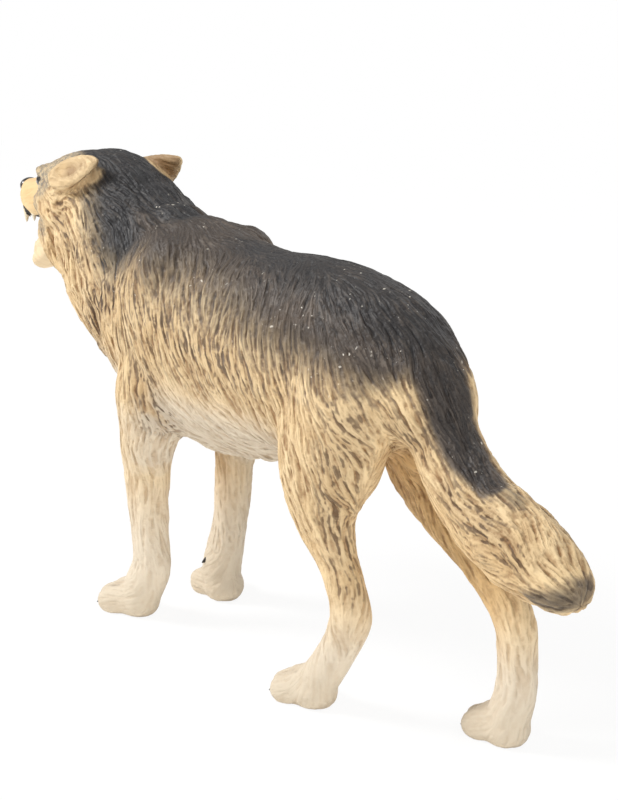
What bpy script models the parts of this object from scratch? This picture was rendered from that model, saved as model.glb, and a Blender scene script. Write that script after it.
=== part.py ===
"""A wolf figurine cast in one piece: it walks with its jaws open and its ears laid back.

The wolf faces -Y, its left side is +X and it stands on Z = 0. Its body is lofted from
elliptical sections, fused into one closed skin, and given paws, a face and locks of fur.
"""

import math
import random

import bmesh
import bpy
from mathutils import Matrix, Vector
from mathutils.bvhtree import BVHTree

MM = 0.001

# The trunk
WITHERS_HEIGHT = 52.0 * MM
CHEST_DEPTH = 27.5 * MM
TRUNK_LENGTH = 63.0 * MM
TRUNK_WIDTH = 20.5 * MM
BREAST_Y = -33.0 * MM

# The neck, whose mane is as deep as the chest
NECK_WIDTH = 19.6 * MM
NECK_DEPTH = 26.5 * MM
NECK_LENGTH = 34.5 * MM
NECK_TOP = 57.5 * MM

# The head
HEAD_LENGTH = 18.2 * MM
HEAD_WIDTH = 12.4 * MM
HEAD_HEIGHT = 11.0 * MM
HEAD_BASE_Y = -41.0 * MM
HEAD_BASE_Z = 50.4 * MM
HEAD_TURN = math.radians(5.0)
MUZZLE_WIDTH = 5.6 * MM
MUZZLE_DEPTH = 5.2 * MM
CHEEK_WIDTH = 14.6 * MM
JAW_LENGTH = 13.0 * MM
JAW_DEPTH = 3.2 * MM
JAW_DROP = math.radians(26.0)
EAR_LENGTH = 7.9 * MM
EAR_WIDTH = 5.0 * MM
EAR_THICKNESS = 1.9 * MM
EYE_RADIUS = 0.95 * MM
FANG_LENGTH = 1.9 * MM
FANG_WIDTH = 1.15 * MM

# The legs
LEG_WIDTH = 4.7 * MM
THIGH_LENGTH = 17.0 * MM
SHOULDER_LENGTH = 12.0 * MM
LEFT_FORE_FOOT = (6.5 * MM, -23.8 * MM)
RIGHT_FORE_FOOT = (-5.0 * MM, -22.2 * MM)
LEFT_HIND_FOOT = (5.6 * MM, 13.6 * MM)
RIGHT_HIND_FOOT = (-5.3 * MM, 34.8 * MM)
SHOULDER_OFFSET = 6.1 * MM
HIP_OFFSET = 4.9 * MM
PAW_LENGTH = 9.6 * MM
PAW_WIDTH = 6.4 * MM
PAW_HEIGHT = 5.1 * MM
TOE_RADIUS = 1.45 * MM
CLAW_LENGTH = 1.1 * MM

# The tail
TAIL_LENGTH = 27.5 * MM
TAIL_WIDTH = 8.4 * MM
TAIL_DEPTH = 8.8 * MM

# The fur that is carved in locks
LOCK_LENGTH = 5.4 * MM
LOCK_WIDTH = 2.5 * MM
LOCK_THICKNESS = 1.5 * MM
COAT_SEED = 11

# The skin of the solid
CORE_CELL = 0.55 * MM
CORE_SMOOTHING = 7
SKIN_CELL = 0.36 * MM
SKIN_SMOOTHING = 2
SKIN_TRIANGLES = 11800
SOLE_DEPTH = 0.45 * MM
ROUND_SIDES = 28
STEPS_BETWEEN_RINGS = 4


class Ring:
    """One elliptical section: its centre, half width, and reach above and below the centre."""

    def __init__(self, centre, across, up, down=None):
        self.centre = Vector(centre)
        self.across = across
        self.up = up
        self.down = up if down is None else down

    def values(self):
        return [*self.centre, self.across, self.up, self.down]


def between(before, start, end, after, share):
    """A value on the smooth curve through start and end, whose neighbours are before and after."""
    slope_in = (end - before) / 2
    slope_out = (after - start) / 2
    square = share * share
    cube = square * share
    return (
        (2 * cube - 3 * square + 1) * start
        + (cube - 2 * square + share) * slope_in
        + (3 * square - 2 * cube) * end
        + (cube - square) * slope_out
    )


def smooth_rings(rings):
    """The rings with STEPS_BETWEEN_RINGS steps on a smooth curve from each to the next."""
    rows = [ring.values() for ring in rings]
    made = []
    for index in range(len(rows) - 1):
        before = rows[max(index - 1, 0)]
        start = rows[index]
        end = rows[index + 1]
        after = rows[min(index + 2, len(rows) - 1)]
        for step in range(STEPS_BETWEEN_RINGS):
            share = step / STEPS_BETWEEN_RINGS
            made.append([between(*four, share) for four in zip(before, start, end, after)])
    made.append(rows[-1])
    return made


def loft(name, rings, side=Vector((1, 0, 0)), upright=False):
    """A closed round body through the rings, which stand square to the way along or upright."""
    rows = smooth_rings(rings)
    centres = [Vector(row[:3]) for row in rows]
    mesh = bmesh.new()
    loops = []
    for index, (_, _, _, across, up, down) in enumerate(rows):
        ahead = centres[min(index + 1, len(rows) - 1)]
        behind = centres[max(index - 1, 0)]
        tangent = (ahead - behind).normalized()
        rise = Vector((0, 0, 1)) if upright else tangent.cross(side).normalized()
        loop = []
        for corner in range(ROUND_SIDES):
            angle = math.tau * corner / ROUND_SIDES
            height = math.sin(angle) * (up if math.sin(angle) > 0 else down)
            offset = side * (math.cos(angle) * across) + rise * height
            loop.append(mesh.verts.new(centres[index] + offset))
        loops.append(loop)
    for first, second in zip(loops, loops[1:]):
        for corner in range(ROUND_SIDES):
            following = (corner + 1) % ROUND_SIDES
            mesh.faces.new((first[corner], first[following], second[following], second[corner]))
    mesh.faces.new(list(reversed(loops[0])))
    mesh.faces.new(loops[-1])
    bmesh.ops.recalc_face_normals(mesh, faces=mesh.faces)
    return as_object(name, mesh)


def as_object(name, mesh):
    """The mesh as an object of the scene."""
    data = bpy.data.meshes.new(name)
    mesh.to_mesh(data)
    mesh.free()
    made = bpy.data.objects.new(name, data)
    bpy.context.scene.collection.objects.link(made)
    return made


def ball(name, centre, radii, turn=None):
    """An ellipsoid with these three radii, turned by a rotation matrix."""
    mesh = bmesh.new()
    bmesh.ops.create_uvsphere(mesh, u_segments=24, v_segments=16, radius=1.0)
    size = Matrix.Diagonal((*radii, 1.0))
    rotation = (turn or Matrix.Identity(3)).to_4x4()
    mesh.transform(Matrix.Translation(centre) @ rotation @ size)
    return as_object(name, mesh)


def facing(way, up=Vector((0, 0, 1))):
    """The rotation that takes +Y to the way and keeps +Z near up."""
    forward = Vector(way).normalized()
    side = forward.cross(up).normalized()
    return Matrix((side, forward, side.cross(forward))).transposed()


def lock(name, root, tip, width, thickness, normal=Vector((0, 0, 1))):
    """A lock of fur: a flat drop that is fullest near its root and ends in a point."""
    way = Vector(tip) - Vector(root)
    mesh = bmesh.new()
    bmesh.ops.create_uvsphere(mesh, u_segments=14, v_segments=12, radius=1.0)
    bmesh.ops.rotate(mesh, verts=mesh.verts, matrix=Matrix.Rotation(math.radians(-90), 3, "X"))
    for vert in mesh.verts:
        along = (vert.co.y + 1) / 2
        taper = (1 - along) ** 0.7 + 0.12
        vert.co = Vector((vert.co.x * width / 2 * taper * 1.3, along, vert.co.z * thickness / 2 * taper))
        vert.co.y *= way.length
    mesh.transform(Matrix.Translation(root) @ facing(way, normal).to_4x4())
    bmesh.ops.recalc_face_normals(mesh, faces=mesh.faces)
    return as_object(name, mesh)


def fuse(name, pieces, cell, smoothing):
    """One closed skin round all the pieces, which are used up. Smoothing rounds their joins."""
    joined = bmesh.new()
    for piece in pieces:
        joined.from_mesh(piece.data)
        bpy.data.objects.remove(piece)
    skin = as_object(name, joined)
    remesh = skin.modifiers.new("skin", "REMESH")
    remesh.mode = "VOXEL"
    remesh.voxel_size = cell
    smooth = skin.modifiers.new("round", "SMOOTH")
    smooth.factor = 0.5
    smooth.iterations = smoothing
    return applied(skin)


def applied(obj):
    """The object with its modifiers made part of its mesh."""
    graph = bpy.context.evaluated_depsgraph_get()
    data = bpy.data.meshes.new_from_object(obj.evaluated_get(graph))
    obj.modifiers.clear()
    obj.data = data
    return obj


def upright_body(name, sections, front, length, height, depth, width, share_above):
    """A body of upright sections. Each section gives the place behind the front, the height of its
    top, its depth and its width, as shares of the body's own; share_above sets its widest level."""
    rings = []
    for along, top, reach, across in sections:
        above = depth * reach * share_above
        centre = (0, front + length * along, height * top - above)
        rings.append(Ring(centre, width / 2 * across, above, depth * reach - above))
    return loft(name, rings, upright=True)


def trunk():
    """The barrel from the buttocks to the breast, with its belly tucked up behind the ribs."""
    sections = (
        (1.005, 0.780, 0.28, 0.30),
        (0.970, 0.842, 0.42, 0.48),
        (0.910, 0.905, 0.51, 0.60),
        (0.841, 0.953, 0.65, 0.73),
        (0.714, 0.980, 0.81, 0.84),
        (0.587, 0.980, 0.89, 0.93),
        (0.460, 0.966, 0.92, 0.95),
        (0.333, 0.974, 0.98, 0.98),
        (0.206, 0.992, 1.00, 0.98),
        (0.080, 0.960, 0.84, 0.84),
        (0.000, 0.865, 0.51, 0.52),
    )
    return upright_body("trunk", sections, BREAST_Y, TRUNK_LENGTH, WITHERS_HEIGHT, CHEST_DEPTH,
                        TRUNK_WIDTH, 0.45)


def neck():
    """The maned neck. Its ruff hangs from the throat down to the breast."""
    sections = (
        (0.98, 0.878, 0.94, 0.88),
        (0.84, 0.887, 0.98, 0.91),
        (0.68, 0.901, 1.00, 0.89),
        (0.57, 0.932, 1.03, 0.87),
        (0.45, 0.972, 1.03, 0.84),
        (0.31, 0.998, 1.00, 0.81),
        (0.19, 0.997, 0.90, 0.74),
        (0.09, 0.978, 0.70, 0.62),
        (0.00, 0.930, 0.46, 0.46),
    )
    front = BREAST_Y + TRUNK_LENGTH * 0.30 - NECK_LENGTH
    return upright_body("neck", sections, front, NECK_LENGTH, NECK_TOP, NECK_DEPTH, NECK_WIDTH, 0.48)


def leg(name, foot, hip_offset, hip_height, rows):
    """A leg from inside the trunk to its pastern. Each row gives the height as a share of the
    hip's, how far the leg lies behind its foot, and its half sizes as shares of the leg's width."""
    rings = []
    foot_x, foot_y = foot
    inward = math.copysign(hip_offset, foot_x) - foot_x
    for height, back, across, ahead, behind in rows:
        centre = (foot_x + inward * height**2, foot_y + back * hip_height, height * hip_height)
        rings.append(Ring(centre, across * LEG_WIDTH, ahead * LEG_WIDTH, behind * LEG_WIDTH))
    return loft(name, rings)


LEFT_FORE = (
    (0.99, 0.100, 0.75, 1.15, 1.25),
    (0.865, 0.067, 0.90, 1.22, 1.12),
    (0.728, 0.048, 0.76, 0.92, 0.88),
    (0.661, 0.032, 0.70, 0.86, 0.82),
    (0.591, 0.028, 0.62, 0.75, 0.71),
    (0.484, 0.033, 0.56, 0.68, 0.64),
    (0.385, 0.042, 0.52, 0.62, 0.59),
    (0.280, 0.053, 0.49, 0.58, 0.57),
    (0.213, 0.052, 0.51, 0.60, 0.64),
    (0.130, 0.010, 0.55, 0.62, 0.60),
    (0.070, -0.030, 0.55, 0.62, 0.50),
)
RIGHT_FORE = (
    (0.99, 0.090, 0.75, 1.15, 1.25),
    (0.865, 0.075, 0.90, 1.22, 1.12),
    (0.728, 0.060, 0.72, 0.88, 0.86),
    (0.600, 0.050, 0.54, 0.65, 0.64),
    (0.524, 0.045, 0.50, 0.60, 0.59),
    (0.437, 0.039, 0.48, 0.58, 0.58),
    (0.329, 0.026, 0.46, 0.55, 0.55),
    (0.225, -0.004, 0.49, 0.58, 0.58),
    (0.150, -0.025, 0.53, 0.62, 0.60),
    (0.070, -0.040, 0.55, 0.62, 0.54),
)
LEFT_HIND = (
    (1.210, 0.095, 0.35, 0.75, 0.80),
    (1.080, 0.070, 0.72, 1.35, 1.40),
    (0.960, 0.052, 0.92, 1.72, 1.72),
    (0.850, 0.026, 0.96, 1.75, 1.58),
    (0.745, -0.010, 0.84, 1.42, 1.22),
    (0.620, 0.008, 0.62, 0.80, 1.10),
    (0.522, 0.078, 0.46, 0.56, 0.64),
    (0.418, 0.136, 0.47, 0.54, 0.58),
    (0.360, 0.154, 0.49, 0.56, 0.62),
    (0.285, 0.124, 0.46, 0.52, 0.55),
    (0.209, 0.078, 0.44, 0.52, 0.52),
    (0.137, 0.025, 0.46, 0.54, 0.53),
    (0.070, -0.030, 0.54, 0.58, 0.48),
)
RIGHT_HIND = (
    (1.210, -0.395, 0.35, 0.72, 0.72),
    (1.080, -0.410, 0.74, 1.25, 1.42),
    (0.960, -0.435, 0.92, 1.60, 1.62),
    (0.860, -0.445, 0.90, 1.34, 1.44),
    (0.780, -0.444, 0.78, 1.06, 1.10),
    (0.691, -0.378, 0.58, 0.74, 0.74),
    (0.579, -0.205, 0.49, 0.60, 0.60),
    (0.500, -0.090, 0.45, 0.54, 0.54),
    (0.415, -0.005, 0.48, 0.56, 0.60),
    (0.313, 0.014, 0.46, 0.55, 0.54),
    (0.180, 0.010, 0.49, 0.58, 0.56),
    (0.070, -0.025, 0.55, 0.60, 0.52),
)


def paw(name, foot, splay):
    """A paw with four toes and their claws. It points forwards and splays outwards."""
    turn = Matrix.Rotation(math.copysign(math.radians(splay), foot[0]), 3, "Z")
    heel = Vector((*foot, -SOLE_DEPTH))
    half = PAW_WIDTH / 2

    def placed(across, ahead, height):
        return heel + turn @ Vector((across * half, -ahead * PAW_LENGTH, height * PAW_HEIGHT))

    pieces = [
        ball(name + "_pad", placed(0, 0.12, 0.44), (half * 0.86, PAW_LENGTH * 0.31, PAW_HEIGHT * 0.50), turn),
        ball(name + "_top", placed(0, 0.30, 0.50), (half * 0.84, PAW_LENGTH * 0.27, PAW_HEIGHT * 0.47), turn),
    ]
    toes = ((-0.68, 0.42), (-0.24, 0.54), (0.24, 0.54), (0.68, 0.42))
    claws = []
    for number, (across, ahead) in enumerate(toes):
        size = (TOE_RADIUS * 0.86, TOE_RADIUS * 1.5, TOE_RADIUS * 1.32)
        spread = Matrix.Rotation(across * 0.30, 3, "Z")
        pieces.append(ball(f"{name}_toe_{number}", placed(across, ahead, 0.36), size, turn @ spread))
        root = placed(across * 1.05, ahead + 0.10, 0.22)
        tip = root + turn @ Vector((across * 0.3, -1, -0.42)).normalized() * CLAW_LENGTH
        claws.append(lock(f"{name}_claw_{number}", root, tip, CLAW_LENGTH * 0.55, CLAW_LENGTH * 0.6))
    return pieces, claws


def tail_point(back, drop, across=0.0):
    """A point given as shares of the tail's length behind its root and below it."""
    root = Vector((across, BREAST_Y + TRUNK_LENGTH * 0.93, WITHERS_HEIGHT * 0.80))
    return root + Vector((0, back * TAIL_LENGTH, -drop * TAIL_LENGTH))


def tail():
    """The brush, lofted from its tip to its root inside the rump."""
    # places behind the root and below it, then half width, reach above and reach below
    sections = (
        (0.940, 0.660, 0.30, 0.12, 0.16),
        (0.905, 0.650, 0.62, 0.17, 0.32),
        (0.830, 0.615, 0.84, 0.27, 0.44),
        (0.684, 0.575, 1.00, 0.44, 0.49),
        (0.542, 0.545, 1.06, 0.50, 0.53),
        (0.396, 0.495, 1.04, 0.53, 0.54),
        (0.250, 0.405, 0.98, 0.50, 0.50),
        (0.145, 0.290, 0.92, 0.46, 0.46),
        (0.020, 0.110, 0.80, 0.42, 0.42),
        (-0.12, -0.02, 0.60, 0.36, 0.40),
    )
    rings = [
        Ring(tail_point(back, drop), TAIL_WIDTH / 2 * width, TAIL_DEPTH * up, TAIL_DEPTH * down)
        for back, drop, width, up, down in sections
    ]
    return loft("tail", rings)


def head_frame():
    """Takes the head's own frame, with the skull's base at its origin, to the wolf's."""
    base = Vector((0.5 * MM, HEAD_BASE_Y, HEAD_BASE_Z))
    return Matrix.Translation(base) @ Matrix.Rotation(HEAD_TURN, 4, "Z")


def in_head(across, ahead, height):
    """A point given as shares of the head's half width, length and height."""
    return Vector((across * HEAD_WIDTH / 2, -ahead * HEAD_LENGTH, height * HEAD_HEIGHT))


def skull():
    """The skull and the upper jaw, from the nape to the nose."""
    # ahead, height of the middle, half width, up and down, all shares
    sections = (
        (-0.16, 0.10, 0.62, 0.34, 0.40),
        (0.02, 0.13, 0.96, 0.455, 0.56),
        (0.20, 0.125, 1.02, 0.455, 0.58),
        (0.36, 0.095, 0.93, 0.42, 0.50),
        (0.50, 0.05, 0.74, 0.355, 0.40),
    )
    rings = [
        Ring(in_head(0, ahead, height), HEAD_WIDTH / 2 * width, HEAD_HEIGHT * up, HEAD_HEIGHT * down)
        for ahead, height, width, up, down in sections
    ]
    muzzle = (
        (0.60, -0.04, 1.10, 0.58, 0.74),
        (0.70, -0.06, 1.00, 0.52, 0.72),
        (0.82, -0.085, 0.97, 0.45, 0.66),
        (0.92, -0.10, 0.90, 0.40, 0.56),
        (0.975, -0.10, 0.66, 0.35, 0.44),
        (1.00, -0.09, 0.34, 0.20, 0.22),
    )
    rings += [
        Ring(in_head(0, ahead, height), MUZZLE_WIDTH / 2 * width, MUZZLE_DEPTH * up, MUZZLE_DEPTH * down)
        for ahead, height, width, up, down in muzzle
    ]
    return loft("skull", rings)


def jaw_point(along, across=0.0, height=0.0):
    """A point on the dropped lower jaw, from its hinge at 0 to its chin at 1."""
    hinge = in_head(0, 0.24, -0.42)
    way = Vector((0, -math.cos(JAW_DROP), -math.sin(JAW_DROP)))
    rise = Vector((0, -math.sin(JAW_DROP), math.cos(JAW_DROP)))
    return hinge + way * JAW_LENGTH * along + rise * height + Vector((across, 0, 0))


def lower_jaw():
    """The lower jaw: a deep floor at its hinge, a rounded chin at its end."""
    half = MUZZLE_WIDTH / 2
    sections = (
        (0.02, 1.75, 0.75, 1.05),
        (0.28, 1.35, 0.55, 0.85),
        (0.55, 0.98, 0.45, 0.58),
        (0.80, 0.84, 0.42, 0.52),
        (0.94, 0.68, 0.36, 0.44),
        (1.00, 0.36, 0.20, 0.24),
    )
    rings = [
        Ring(jaw_point(along), half * width, JAW_DEPTH * up, JAW_DEPTH * down)
        for along, width, up, down in sections
    ]
    return loft("lower_jaw", rings)


def tongue():
    """The tongue lies along the lower jaw and lifts a little at its tip."""
    sections = ((0.18, 0.40, 0.30), (0.45, 0.46, 0.34), (0.70, 0.42, 0.36), (0.84, 0.26, 0.28))
    rings = [
        Ring(jaw_point(along, height=JAW_DEPTH * (0.42 + 0.12 * along)), MUZZLE_WIDTH * width,
             JAW_DEPTH * thick, JAW_DEPTH * thick)
        for along, width, thick in sections
    ]
    return loft("tongue", rings)


def fangs():
    """The four long teeth at the front of the open mouth."""
    made = []
    across = MUZZLE_WIDTH * 0.31
    for side in (-1, 1):
        upper = in_head(0, 0.89, -0.27) + Vector((side * across, 0, 0))
        lower = jaw_point(0.84, side * across * 0.86, JAW_DEPTH * 0.15)
        down = Vector((side * 0.10, -0.15, -1)).normalized() * FANG_LENGTH
        rise = Vector((side * 0.05, -0.30, 1)).normalized() * FANG_LENGTH
        for name, root, way in (("upper", upper, down), ("lower", lower, rise)):
            forward = Vector((0, -1, 0))
            made.append(lock(f"{name}_fang_{side}", root, root + way, FANG_WIDTH, FANG_WIDTH, forward))
    return made


def ear(side, reach, ahead, height):
    """An ear laid back along the neck, hollowed on its outer face."""
    base = in_head(side * 0.98, ahead, height)
    way = Vector((side * -0.11, 0.90, 0.36)).normalized()
    tip = base + way * EAR_LENGTH * reach
    outward = Vector((side * 0.80, -0.25, 0.55)).normalized()
    across = way.cross(outward).normalized()
    outward = across.cross(way).normalized()
    # shares of the length, of the width and of the thickness
    sections = ((-0.22, 0.62, 1.5), (0.06, 0.98, 1.3), (0.34, 0.98, 1.0), (0.62, 0.76, 0.8),
                (0.85, 0.44, 0.7), (1.0, 0.14, 0.42))
    rings = [
        Ring(base + (tip - base) * along, EAR_WIDTH / 2 * width, EAR_THICKNESS / 2 * thick)
        for along, width, thick in sections
    ]
    shell = loft(f"ear_{side}", rings, across)
    hollow = ball(f"ear_hollow_{side}", base + (tip - base) * 0.36 + outward * EAR_THICKNESS * 0.62,
                  (EAR_WIDTH * 0.30, EAR_LENGTH * 0.36, EAR_THICKNESS * 0.52),
                  Matrix((across, way, outward)).transposed())
    return shell, hollow


def eye_place(side):
    """The middle of an eye, at the side of the brow's step down to the muzzle."""
    return in_head(side * 0.50, 0.560, 0.165)


def face():
    """Nose pad, throat, brows, cheek bones, jowls and upper lips."""
    made = [
        ball("nose_pad", in_head(0, 0.995, -0.02),
             (MUZZLE_WIDTH * 0.26, MUZZLE_WIDTH * 0.19, MUZZLE_DEPTH * 0.21)),
        ball("throat", in_head(0, 0.14, -0.46), (CHEEK_WIDTH * 0.30, HEAD_LENGTH * 0.24, HEAD_HEIGHT * 0.32)),
    ]
    for side in (-1, 1):
        made += [
            ball(f"brow_{side}", in_head(side * 0.52, 0.50, 0.30),
                 (HEAD_WIDTH * 0.13, HEAD_LENGTH * 0.11, HEAD_HEIGHT * 0.08)),
            ball(f"cheek_bone_{side}", in_head(side * 0.68, 0.40, -0.06),
                 (CHEEK_WIDTH * 0.12, HEAD_LENGTH * 0.17, HEAD_HEIGHT * 0.16)),
            ball(f"jowl_{side}", in_head(side * 0.60, 0.345, -0.40),
                 (CHEEK_WIDTH * 0.14, HEAD_LENGTH * 0.20, HEAD_HEIGHT * 0.33)),
            ball(f"lip_{side}", in_head(side * 0.22, 0.80, -0.21),
                 (MUZZLE_WIDTH * 0.24, HEAD_LENGTH * 0.16, MUZZLE_DEPTH * 0.30)),
        ]
    return made


def eye_sockets():
    """The hollows that the eyes are set in. They slant up to the ears."""
    made = []
    for side in (-1, 1):
        outward = Vector((side * 0.75, -0.60, 0.15)).normalized()
        slant = Matrix.Rotation(math.radians(-14), 3, "X")
        place = eye_place(side) + outward * EYE_RADIUS * 0.75
        radii = (EYE_RADIUS * 1.1, EYE_RADIUS * 1.55, EYE_RADIUS * 0.95)
        made.append(ball(f"socket_{side}", place, radii, slant))
    return made


def eyes():
    """The eyeballs, which just fill their sockets."""
    return [ball(f"eye_{side}", eye_place(side), (EYE_RADIUS,) * 3) for side in (-1, 1)]


def muscles():
    """The forms under the fur: shoulder blades, upper arms, haunches and the point of the rump."""
    made = []
    wide = TRUNK_WIDTH / 2
    for side in (-1, 1):
        made += [
            ball(f"blade_{side}", (side * wide * 0.56, BREAST_Y + TRUNK_LENGTH * 0.21, WITHERS_HEIGHT * 0.80),
                 (wide * 0.42, SHOULDER_LENGTH * 0.52, SHOULDER_LENGTH * 0.78),
                 Matrix.Rotation(math.radians(-24), 3, "X")),
            ball(f"arm_{side}", (side * wide * 0.60, BREAST_Y + TRUNK_LENGTH * 0.19, WITHERS_HEIGHT * 0.63),
                 (wide * 0.36, SHOULDER_LENGTH * 0.56, SHOULDER_LENGTH * 0.40),
                 Matrix.Rotation(math.radians(30), 3, "X")),
            ball(f"haunch_{side}",
                 (side * wide * 0.50, BREAST_Y + TRUNK_LENGTH * 0.78, WITHERS_HEIGHT * 0.70),
                 (wide * 0.42, THIGH_LENGTH * 0.48, THIGH_LENGTH * 0.55)),
        ]
    return made


class Coat:
    """Lays locks of fur on a surface: each starts under the skin and its tip stands a little off."""

    def __init__(self, body, seed):
        self.surface = BVHTree.FromObject(body, bpy.context.evaluated_depsgraph_get())
        self.draw = random.Random(seed)
        self.locks = []

    def lay(self, place, way, size=1.0, lift=0.28):
        """One lock near the place that runs the way along the surface."""
        root, normal, _, _ = self.surface.find_nearest(Vector(place))
        way = Vector(way)
        way = (way - normal * way.dot(normal)).normalized()
        way = Matrix.Rotation(self.draw.uniform(-0.22, 0.22), 3, normal) @ way
        long = LOCK_LENGTH * size * self.draw.uniform(0.8, 1.25)
        tip, tip_normal, _, _ = self.surface.find_nearest(root + way * long)
        thick = LOCK_THICKNESS * size
        root = root - way * long * 0.25 - normal * thick * 0.1
        tip = tip + tip_normal * thick * lift
        wide = LOCK_WIDTH * size * self.draw.uniform(0.85, 1.15)
        name = f"lock_{len(self.locks)}"
        self.locks.append(lock(name, root, tip, wide, thick, normal))

    def row(self, path, ways, count, size=1.0, lift=0.28, sides=(1, -1)):
        """Locks spread along a path of places, on each side of the wolf. The way they run turns
        from the first of the two ways to the second."""
        spans = len(path) - 1
        for index in range(count):
            along = (index + self.draw.uniform(-0.2, 0.2)) / (count - 1)
            along = min(max(along, 0.0), 1.0)
            span = min(int(along * spans), spans - 1)
            place = Vector(path[span]).lerp(Vector(path[span + 1]), along * spans - span)
            way = Vector(ways[0]).lerp(Vector(ways[1]), along)
            for side in sides:
                mirror = Vector((side, 1, 1))
                self.lay(place * mirror, way * mirror, size, lift)


def on_body(across, behind, height):
    """A point given as shares of the trunk's half width, of its length behind the breast and of the
    withers' height."""
    return Vector((across * TRUNK_WIDTH / 2, BREAST_Y + behind * TRUNK_LENGTH, height * WITHERS_HEIGHT))


def ruff(fur):
    """Locks over the cheeks and down the throat."""
    for behind, count in ((-0.222, 5), (-0.175, 6), (-0.127, 6)):
        cheek = (on_body(0.59, behind, 1.00), on_body(0.74, behind, 0.91),
                 on_body(0.55, behind + 0.016, 0.80), on_body(0.20, behind + 0.032, 0.74))
        fur.row(cheek, ((0, 1.0, -0.35), (0, 0.65, -0.9)), count, 0.75, 0.16)
    for behind, height in ((-0.175, 0.72), (-0.127, 0.665), (-0.079, 0.61), (-0.040, 0.56)):
        throat = (on_body(0.06, behind, height), on_body(0.73, behind + 0.079, height + 0.07))
        fur.row(throat, ((0, 0.25, -1), (0.1, 0.6, -0.9)), 4, 0.9, 0.2)


def mane(fur):
    """Three rows of locks round the neck. The last ends in the fold in front of the shoulders."""
    for shift, count, size, lift in ((0.0, 9, 1.0, 0.10), (-0.079, 8, 0.8, 0.05), (-0.151, 7, 0.75, 0.05)):
        fold = (on_body(0.10, shift + 0.198, 1.02), on_body(0.68, shift + 0.143, 0.93),
                on_body(0.92, shift + 0.071, 0.82), on_body(0.78, shift + 0.048, 0.66))
        fur.row(fold, ((0, 1, -0.45), (0, 0.5, -1)), count, size, lift)


def body_locks(fur):
    """Locks at the elbows, along the belly and down the backs of the thighs."""
    elbow = (on_body(0.9, 0.214, 0.60), on_body(0.8, 0.262, 0.50))
    fur.row(elbow, ((0, 0.6, -0.8), (0, 0.7, -0.7)), 3, 0.8)
    belly = (on_body(0.25, 0.286, 0.47), on_body(0.30, 0.619, 0.50))
    fur.row(belly, ((0, 1, -0.12), (0, 1, 0.0)), 6, 0.8)
    for side, rear in ((1, 0.881), (-1, 0.937)):
        breeches = (on_body(0.50, rear + 0.016, 0.70), on_body(0.55, rear, 0.62),
                    on_body(0.55, rear - 0.048, 0.52))
        fur.row(breeches, ((0, 0.30, -1), (0, 0.0, -1)), 5, 0.7, 0.05, (side,))


def brush(fur):
    """Locks round the lower half of the tail."""
    for back, drop in ((0.50, 0.40), (0.64, 0.44), (0.76, 0.50)):
        path = (tail_point(back, drop - 0.06, TAIL_WIDTH * 0.12),
                tail_point(back, drop + 0.12, TAIL_WIDTH * 0.5),
                tail_point(back, drop + 0.28, TAIL_WIDTH * 0.2))
        fur.row(path, ((0, 1, -0.40), (0, 1, 0.0)), 4, 0.85, 0.15)


def coat(body):
    """The locks that stand out of the coat."""
    fur = Coat(body, COAT_SEED)
    ruff(fur)
    mane(fur)
    body_locks(fur)
    brush(fur)
    return fur.locks


def moved(pieces, frame):
    """The pieces, taken from their own frame to the wolf's."""
    for piece in pieces:
        piece.data.transform(frame)
    return pieces


def cut(name, body, tools):
    """The body with the tools' shapes taken out, as applied Booleans."""
    for tool in tools:
        step = body.modifiers.new(name, "BOOLEAN")
        step.operation = "DIFFERENCE"
        step.object = tool
        applied(body)
        bpy.data.objects.remove(tool)
    return body


def connected(start):
    """All the vertices that edges join to this one."""
    found = {start}
    edge = [start]
    while edge:
        for link in edge.pop().link_edges:
            for vert in link.verts:
                if vert not in found:
                    found.add(vert)
                    edge.append(vert)
    return found


def outer_skin(body):
    """The body without the closed bubbles that the locks shut in."""
    mesh = bmesh.new()
    mesh.from_mesh(body.data)
    left = set(mesh.verts)
    shells = []
    while left:
        shells.append(connected(next(iter(left))))
        left -= shells[-1]
    shells.sort(key=len)
    bubbles = [vert for shell in shells[:-1] for vert in shell]
    bmesh.ops.delete(mesh, geom=bubbles, context="VERTS")
    mesh.to_mesh(body.data)
    mesh.free()
    return body


def flat_soles(body):
    """Cuts the paws off flat on the ground, at Z = 0."""
    mesh = bmesh.new()
    mesh.from_mesh(body.data)
    cut_faces = bmesh.ops.bisect_plane(
        mesh, geom=[*mesh.verts, *mesh.edges, *mesh.faces], plane_co=(0, 0, 0),
        plane_no=(0, 0, -1), clear_outer=True)
    rim = [item for item in cut_faces["geom_cut"] if isinstance(item, bmesh.types.BMEdge)]
    bmesh.ops.holes_fill(mesh, edges=rim)
    bmesh.ops.recalc_face_normals(mesh, faces=mesh.faces)
    mesh.to_mesh(body.data)
    mesh.free()
    return body


def thinned(body, triangles):
    """The body with about this many triangles, kept where the form turns most."""
    count = sum(len(face.vertices) - 2 for face in body.data.polygons)
    step = body.modifiers.new("fewer_faces", "DECIMATE")
    step.ratio = min(1.0, triangles / count)
    step.use_collapse_triangulate = True
    return applied(body)


def centred(body):
    """Moves the body so that its origin is under the middle of its box."""
    xs = [vert.co.x for vert in body.data.vertices]
    ys = [vert.co.y for vert in body.data.vertices]
    zs = [vert.co.z for vert in body.data.vertices]
    middle = Vector(((max(xs) + min(xs)) / 2, (max(ys) + min(ys)) / 2, min(zs)))
    body.data.transform(Matrix.Translation(-middle))
    return body


def vinyl():
    """Painted vinyl in the coat's middle tone."""
    material = bpy.data.materials.new("painted_vinyl")
    material.use_nodes = True
    shader = material.node_tree.nodes["Principled BSDF"]
    shader.inputs["Base Color"].default_value = (0.45, 0.34, 0.22, 1)
    shader.inputs["Roughness"].default_value = 0.62
    shader.inputs["Metallic"].default_value = 0.0
    return material


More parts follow.
